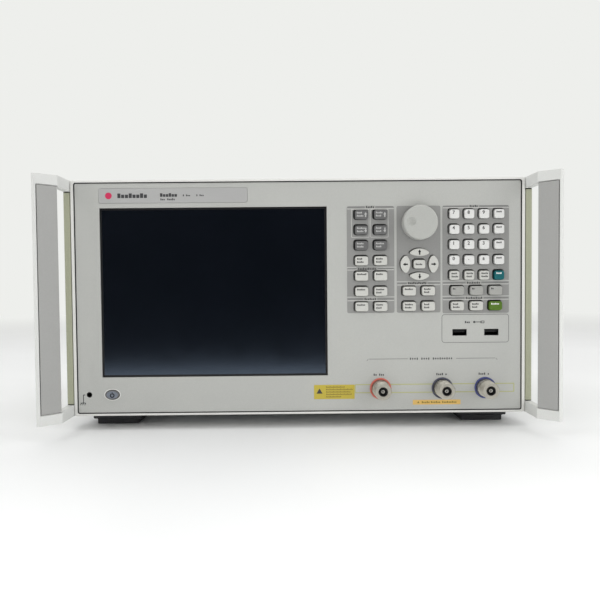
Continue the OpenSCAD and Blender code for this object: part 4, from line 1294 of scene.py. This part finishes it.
def rear_printing():
    """Unreadable captions beside the rear sockets, and a rating plate."""
    shapes = []
    for a, b in solids("rear_connectors"):
        if b.x - a.x > 9:
            x, z = (a.x + b.x) / 2, b.z
            shapes += word(x - 5, z + 4, 6, 2.0)
    inlet = middle("ac_inlet")
    shapes += word(inlet.x - 12, inlet.z + 17, 5, 2.4) + word(inlet.x + 0.5, inlet.z + 17, 6, 2.4)
    stamped("rear_captions", shapes, DARK_INK, face=REAR_INK_FACE)
    low, high = (inlet.x - 52, inlet.z + 42), (inlet.x + 22, inlet.z + 84)
    plate = film("rating_plate", low, high, WHITE_LABEL, radius=1.5, face=REAR + LABEL_T - SINK,
                 thick=LABEL_T)
    fitted(plate, "panel_paint")
    mid_x = (low[0] + high[0]) / 2
    lines = [bar(mid_x, high[1] - 5, 60, 0.5), bar(mid_x, low[1] + 12, 60, 0.5)]
    for i, letters in enumerate((22, 27, 18, 25)):
        lines += word(low[0] + 6, high[1] - 10 - i * 4.6, letters, 2.2)
    lines += [bar(low[0] + 8 + i * 1.7 + (i % 3) * 0.3, low[1] + 6.5, 0.5 + (i % 4) * 0.25, 7)
              for i in range(30)]
    stamped("rating_plate_print", lines, DARK_INK, face=REAR + LABEL_T + INK - SINK)


# ---------- studio ----------

def backdrop_white():
    """Floor that is matt and pale near the object and melts into the backdrop further out."""
    f = Finish("studio_white")
    output = f.nodes["Material Output"]
    f.colour(f.ramp(f.noise(300, 2), FLOOR_TONE, FLOOR_TONE_2))
    f.gloss(f.noise(120, 2), 0.45, 0.55)
    length = f.nodes.new("ShaderNodeVectorMath")
    length.operation = "LENGTH"
    f.links.new(f.place, length.inputs[0])
    fade = f.nodes.new("ShaderNodeMapRange")
    fade.interpolation_type = "SMOOTHSTEP"
    fade.inputs["From Min"].default_value = 0.7
    fade.inputs["From Max"].default_value = 2.2
    f.links.new(length.outputs["Value"], fade.inputs["Value"])
    glow = f.nodes.new("ShaderNodeEmission")
    glow.inputs["Color"].default_value = BACKDROP
    mix = f.nodes.new("ShaderNodeMixShader")
    f.links.new(fade.outputs["Result"], mix.inputs["Fac"])
    f.links.new(f.shader.outputs["BSDF"], mix.inputs[1])
    f.links.new(glow.outputs["Emission"], mix.inputs[2])
    f.links.new(mix.outputs["Shader"], output.inputs["Surface"])
    return f.material


BACKDROP = tone(238, 239, 236)
FLOOR_TONE = tone(245, 246, 246)
FLOOR_TONE_2 = tone(248, 249, 249)


def studio():
    bpy.ops.object.select_all(action="DESELECT")
    bpy.ops.mesh.primitive_circle_add(vertices=96, radius=9, fill_type="NGON", location=(0, 0, -0.0002))
    floor = painted(added("studio_floor"), backdrop_white())
    bpy.ops.mesh.primitive_plane_add(size=1, location=(0, -0.51, 1.0), rotation=(math.pi / 2, 0, 0))
    card = bpy.context.object
    card.scale = (4, 2, 1)
    card = painted(added("dark_card"), BLACK_PLASTIC)
    card.visible_camera = False
    card.visible_diffuse = False
    card.visible_shadow = False
    card.visible_transmission = False

    world = bpy.data.worlds.new("studio_air")
    bpy.context.scene.world = world
    world.use_nodes = True
    nodes, links = world.node_tree.nodes, world.node_tree.links
    seen = nodes["Background"]
    seen.inputs["Color"].default_value = BACKDROP
    ambient = nodes.new("ShaderNodeBackground")
    ambient.inputs["Color"].default_value = (1.0, 0.995, 0.98, 1)
    ambient.inputs["Strength"].default_value = AMBIENT
    path = nodes.new("ShaderNodeLightPath")
    mix = nodes.new("ShaderNodeMixShader")
    links.new(path.outputs["Is Camera Ray"], mix.inputs["Fac"])
    links.new(ambient.outputs["Background"], mix.inputs[1])
    links.new(seen.outputs["Background"], mix.inputs[2])
    links.new(mix.outputs["Shader"], nodes["World Output"].inputs["Surface"])

    for name, place, size, power in SOFTBOXES:
        light = bpy.data.lights.new(name, "AREA")
        light.shape = "RECTANGLE"
        light.size, light.size_y = size
        light.energy = power
        lamp = bpy.data.objects.new(name, light)
        bpy.context.scene.collection.objects.link(lamp)
        lamp.location = place
        lamp.rotation_euler = (Vector((0, 0, 0.12)) - Vector(place)).to_track_quat("-Z", "Y").to_euler()
        lamp.visible_camera = False
        lamp.visible_glossy = name != "low_fill"
    bpy.context.scene.view_settings.view_transform = "Standard"


AMBIENT = 0.53
SOFTBOXES = (
    ("overhead_softbox", (0.0, 0.05, 1.5), (2.2, 1.8), 15.5),
    ("left_softbox", (-1.3, -0.9, 0.9), (0.9, 1.1), 5.6),
    ("right_softbox", (1.3, -0.9, 0.7), (0.9, 1.1), 7.0),
    ("low_fill", (0.1, -0.48, 0.03), (0.8, 0.05), 0.3),
)


def camera():
    data = bpy.data.cameras.new("camera")
    data.lens = 36.1
    data.sensor_width = 36
    data.clip_start = 0.01
    eye = bpy.data.objects.new("camera", data)
    bpy.context.scene.collection.objects.link(eye)
    eye.location = (-0.00189, -0.69006, 0.1394)
    eye.rotation_euler = [math.radians(a) for a in (88.181, 0.509, -0.299)]
    bpy.context.scene.camera = eye


# ---------- assembly ----------

bpy.ops.object.select_all(action="DESELECT")
castings()
keypad_films()
keypad_printing()
group_keys()
digit_keys()
cursor_keys()
knob()
power_button()
panel_printing()
stickers()
nameplate_printing()
display()
ports()
usb_sockets()
ground_jack()
inside()
rear_sockets()
rear_screws()
rear_printing()
studio()
camera()
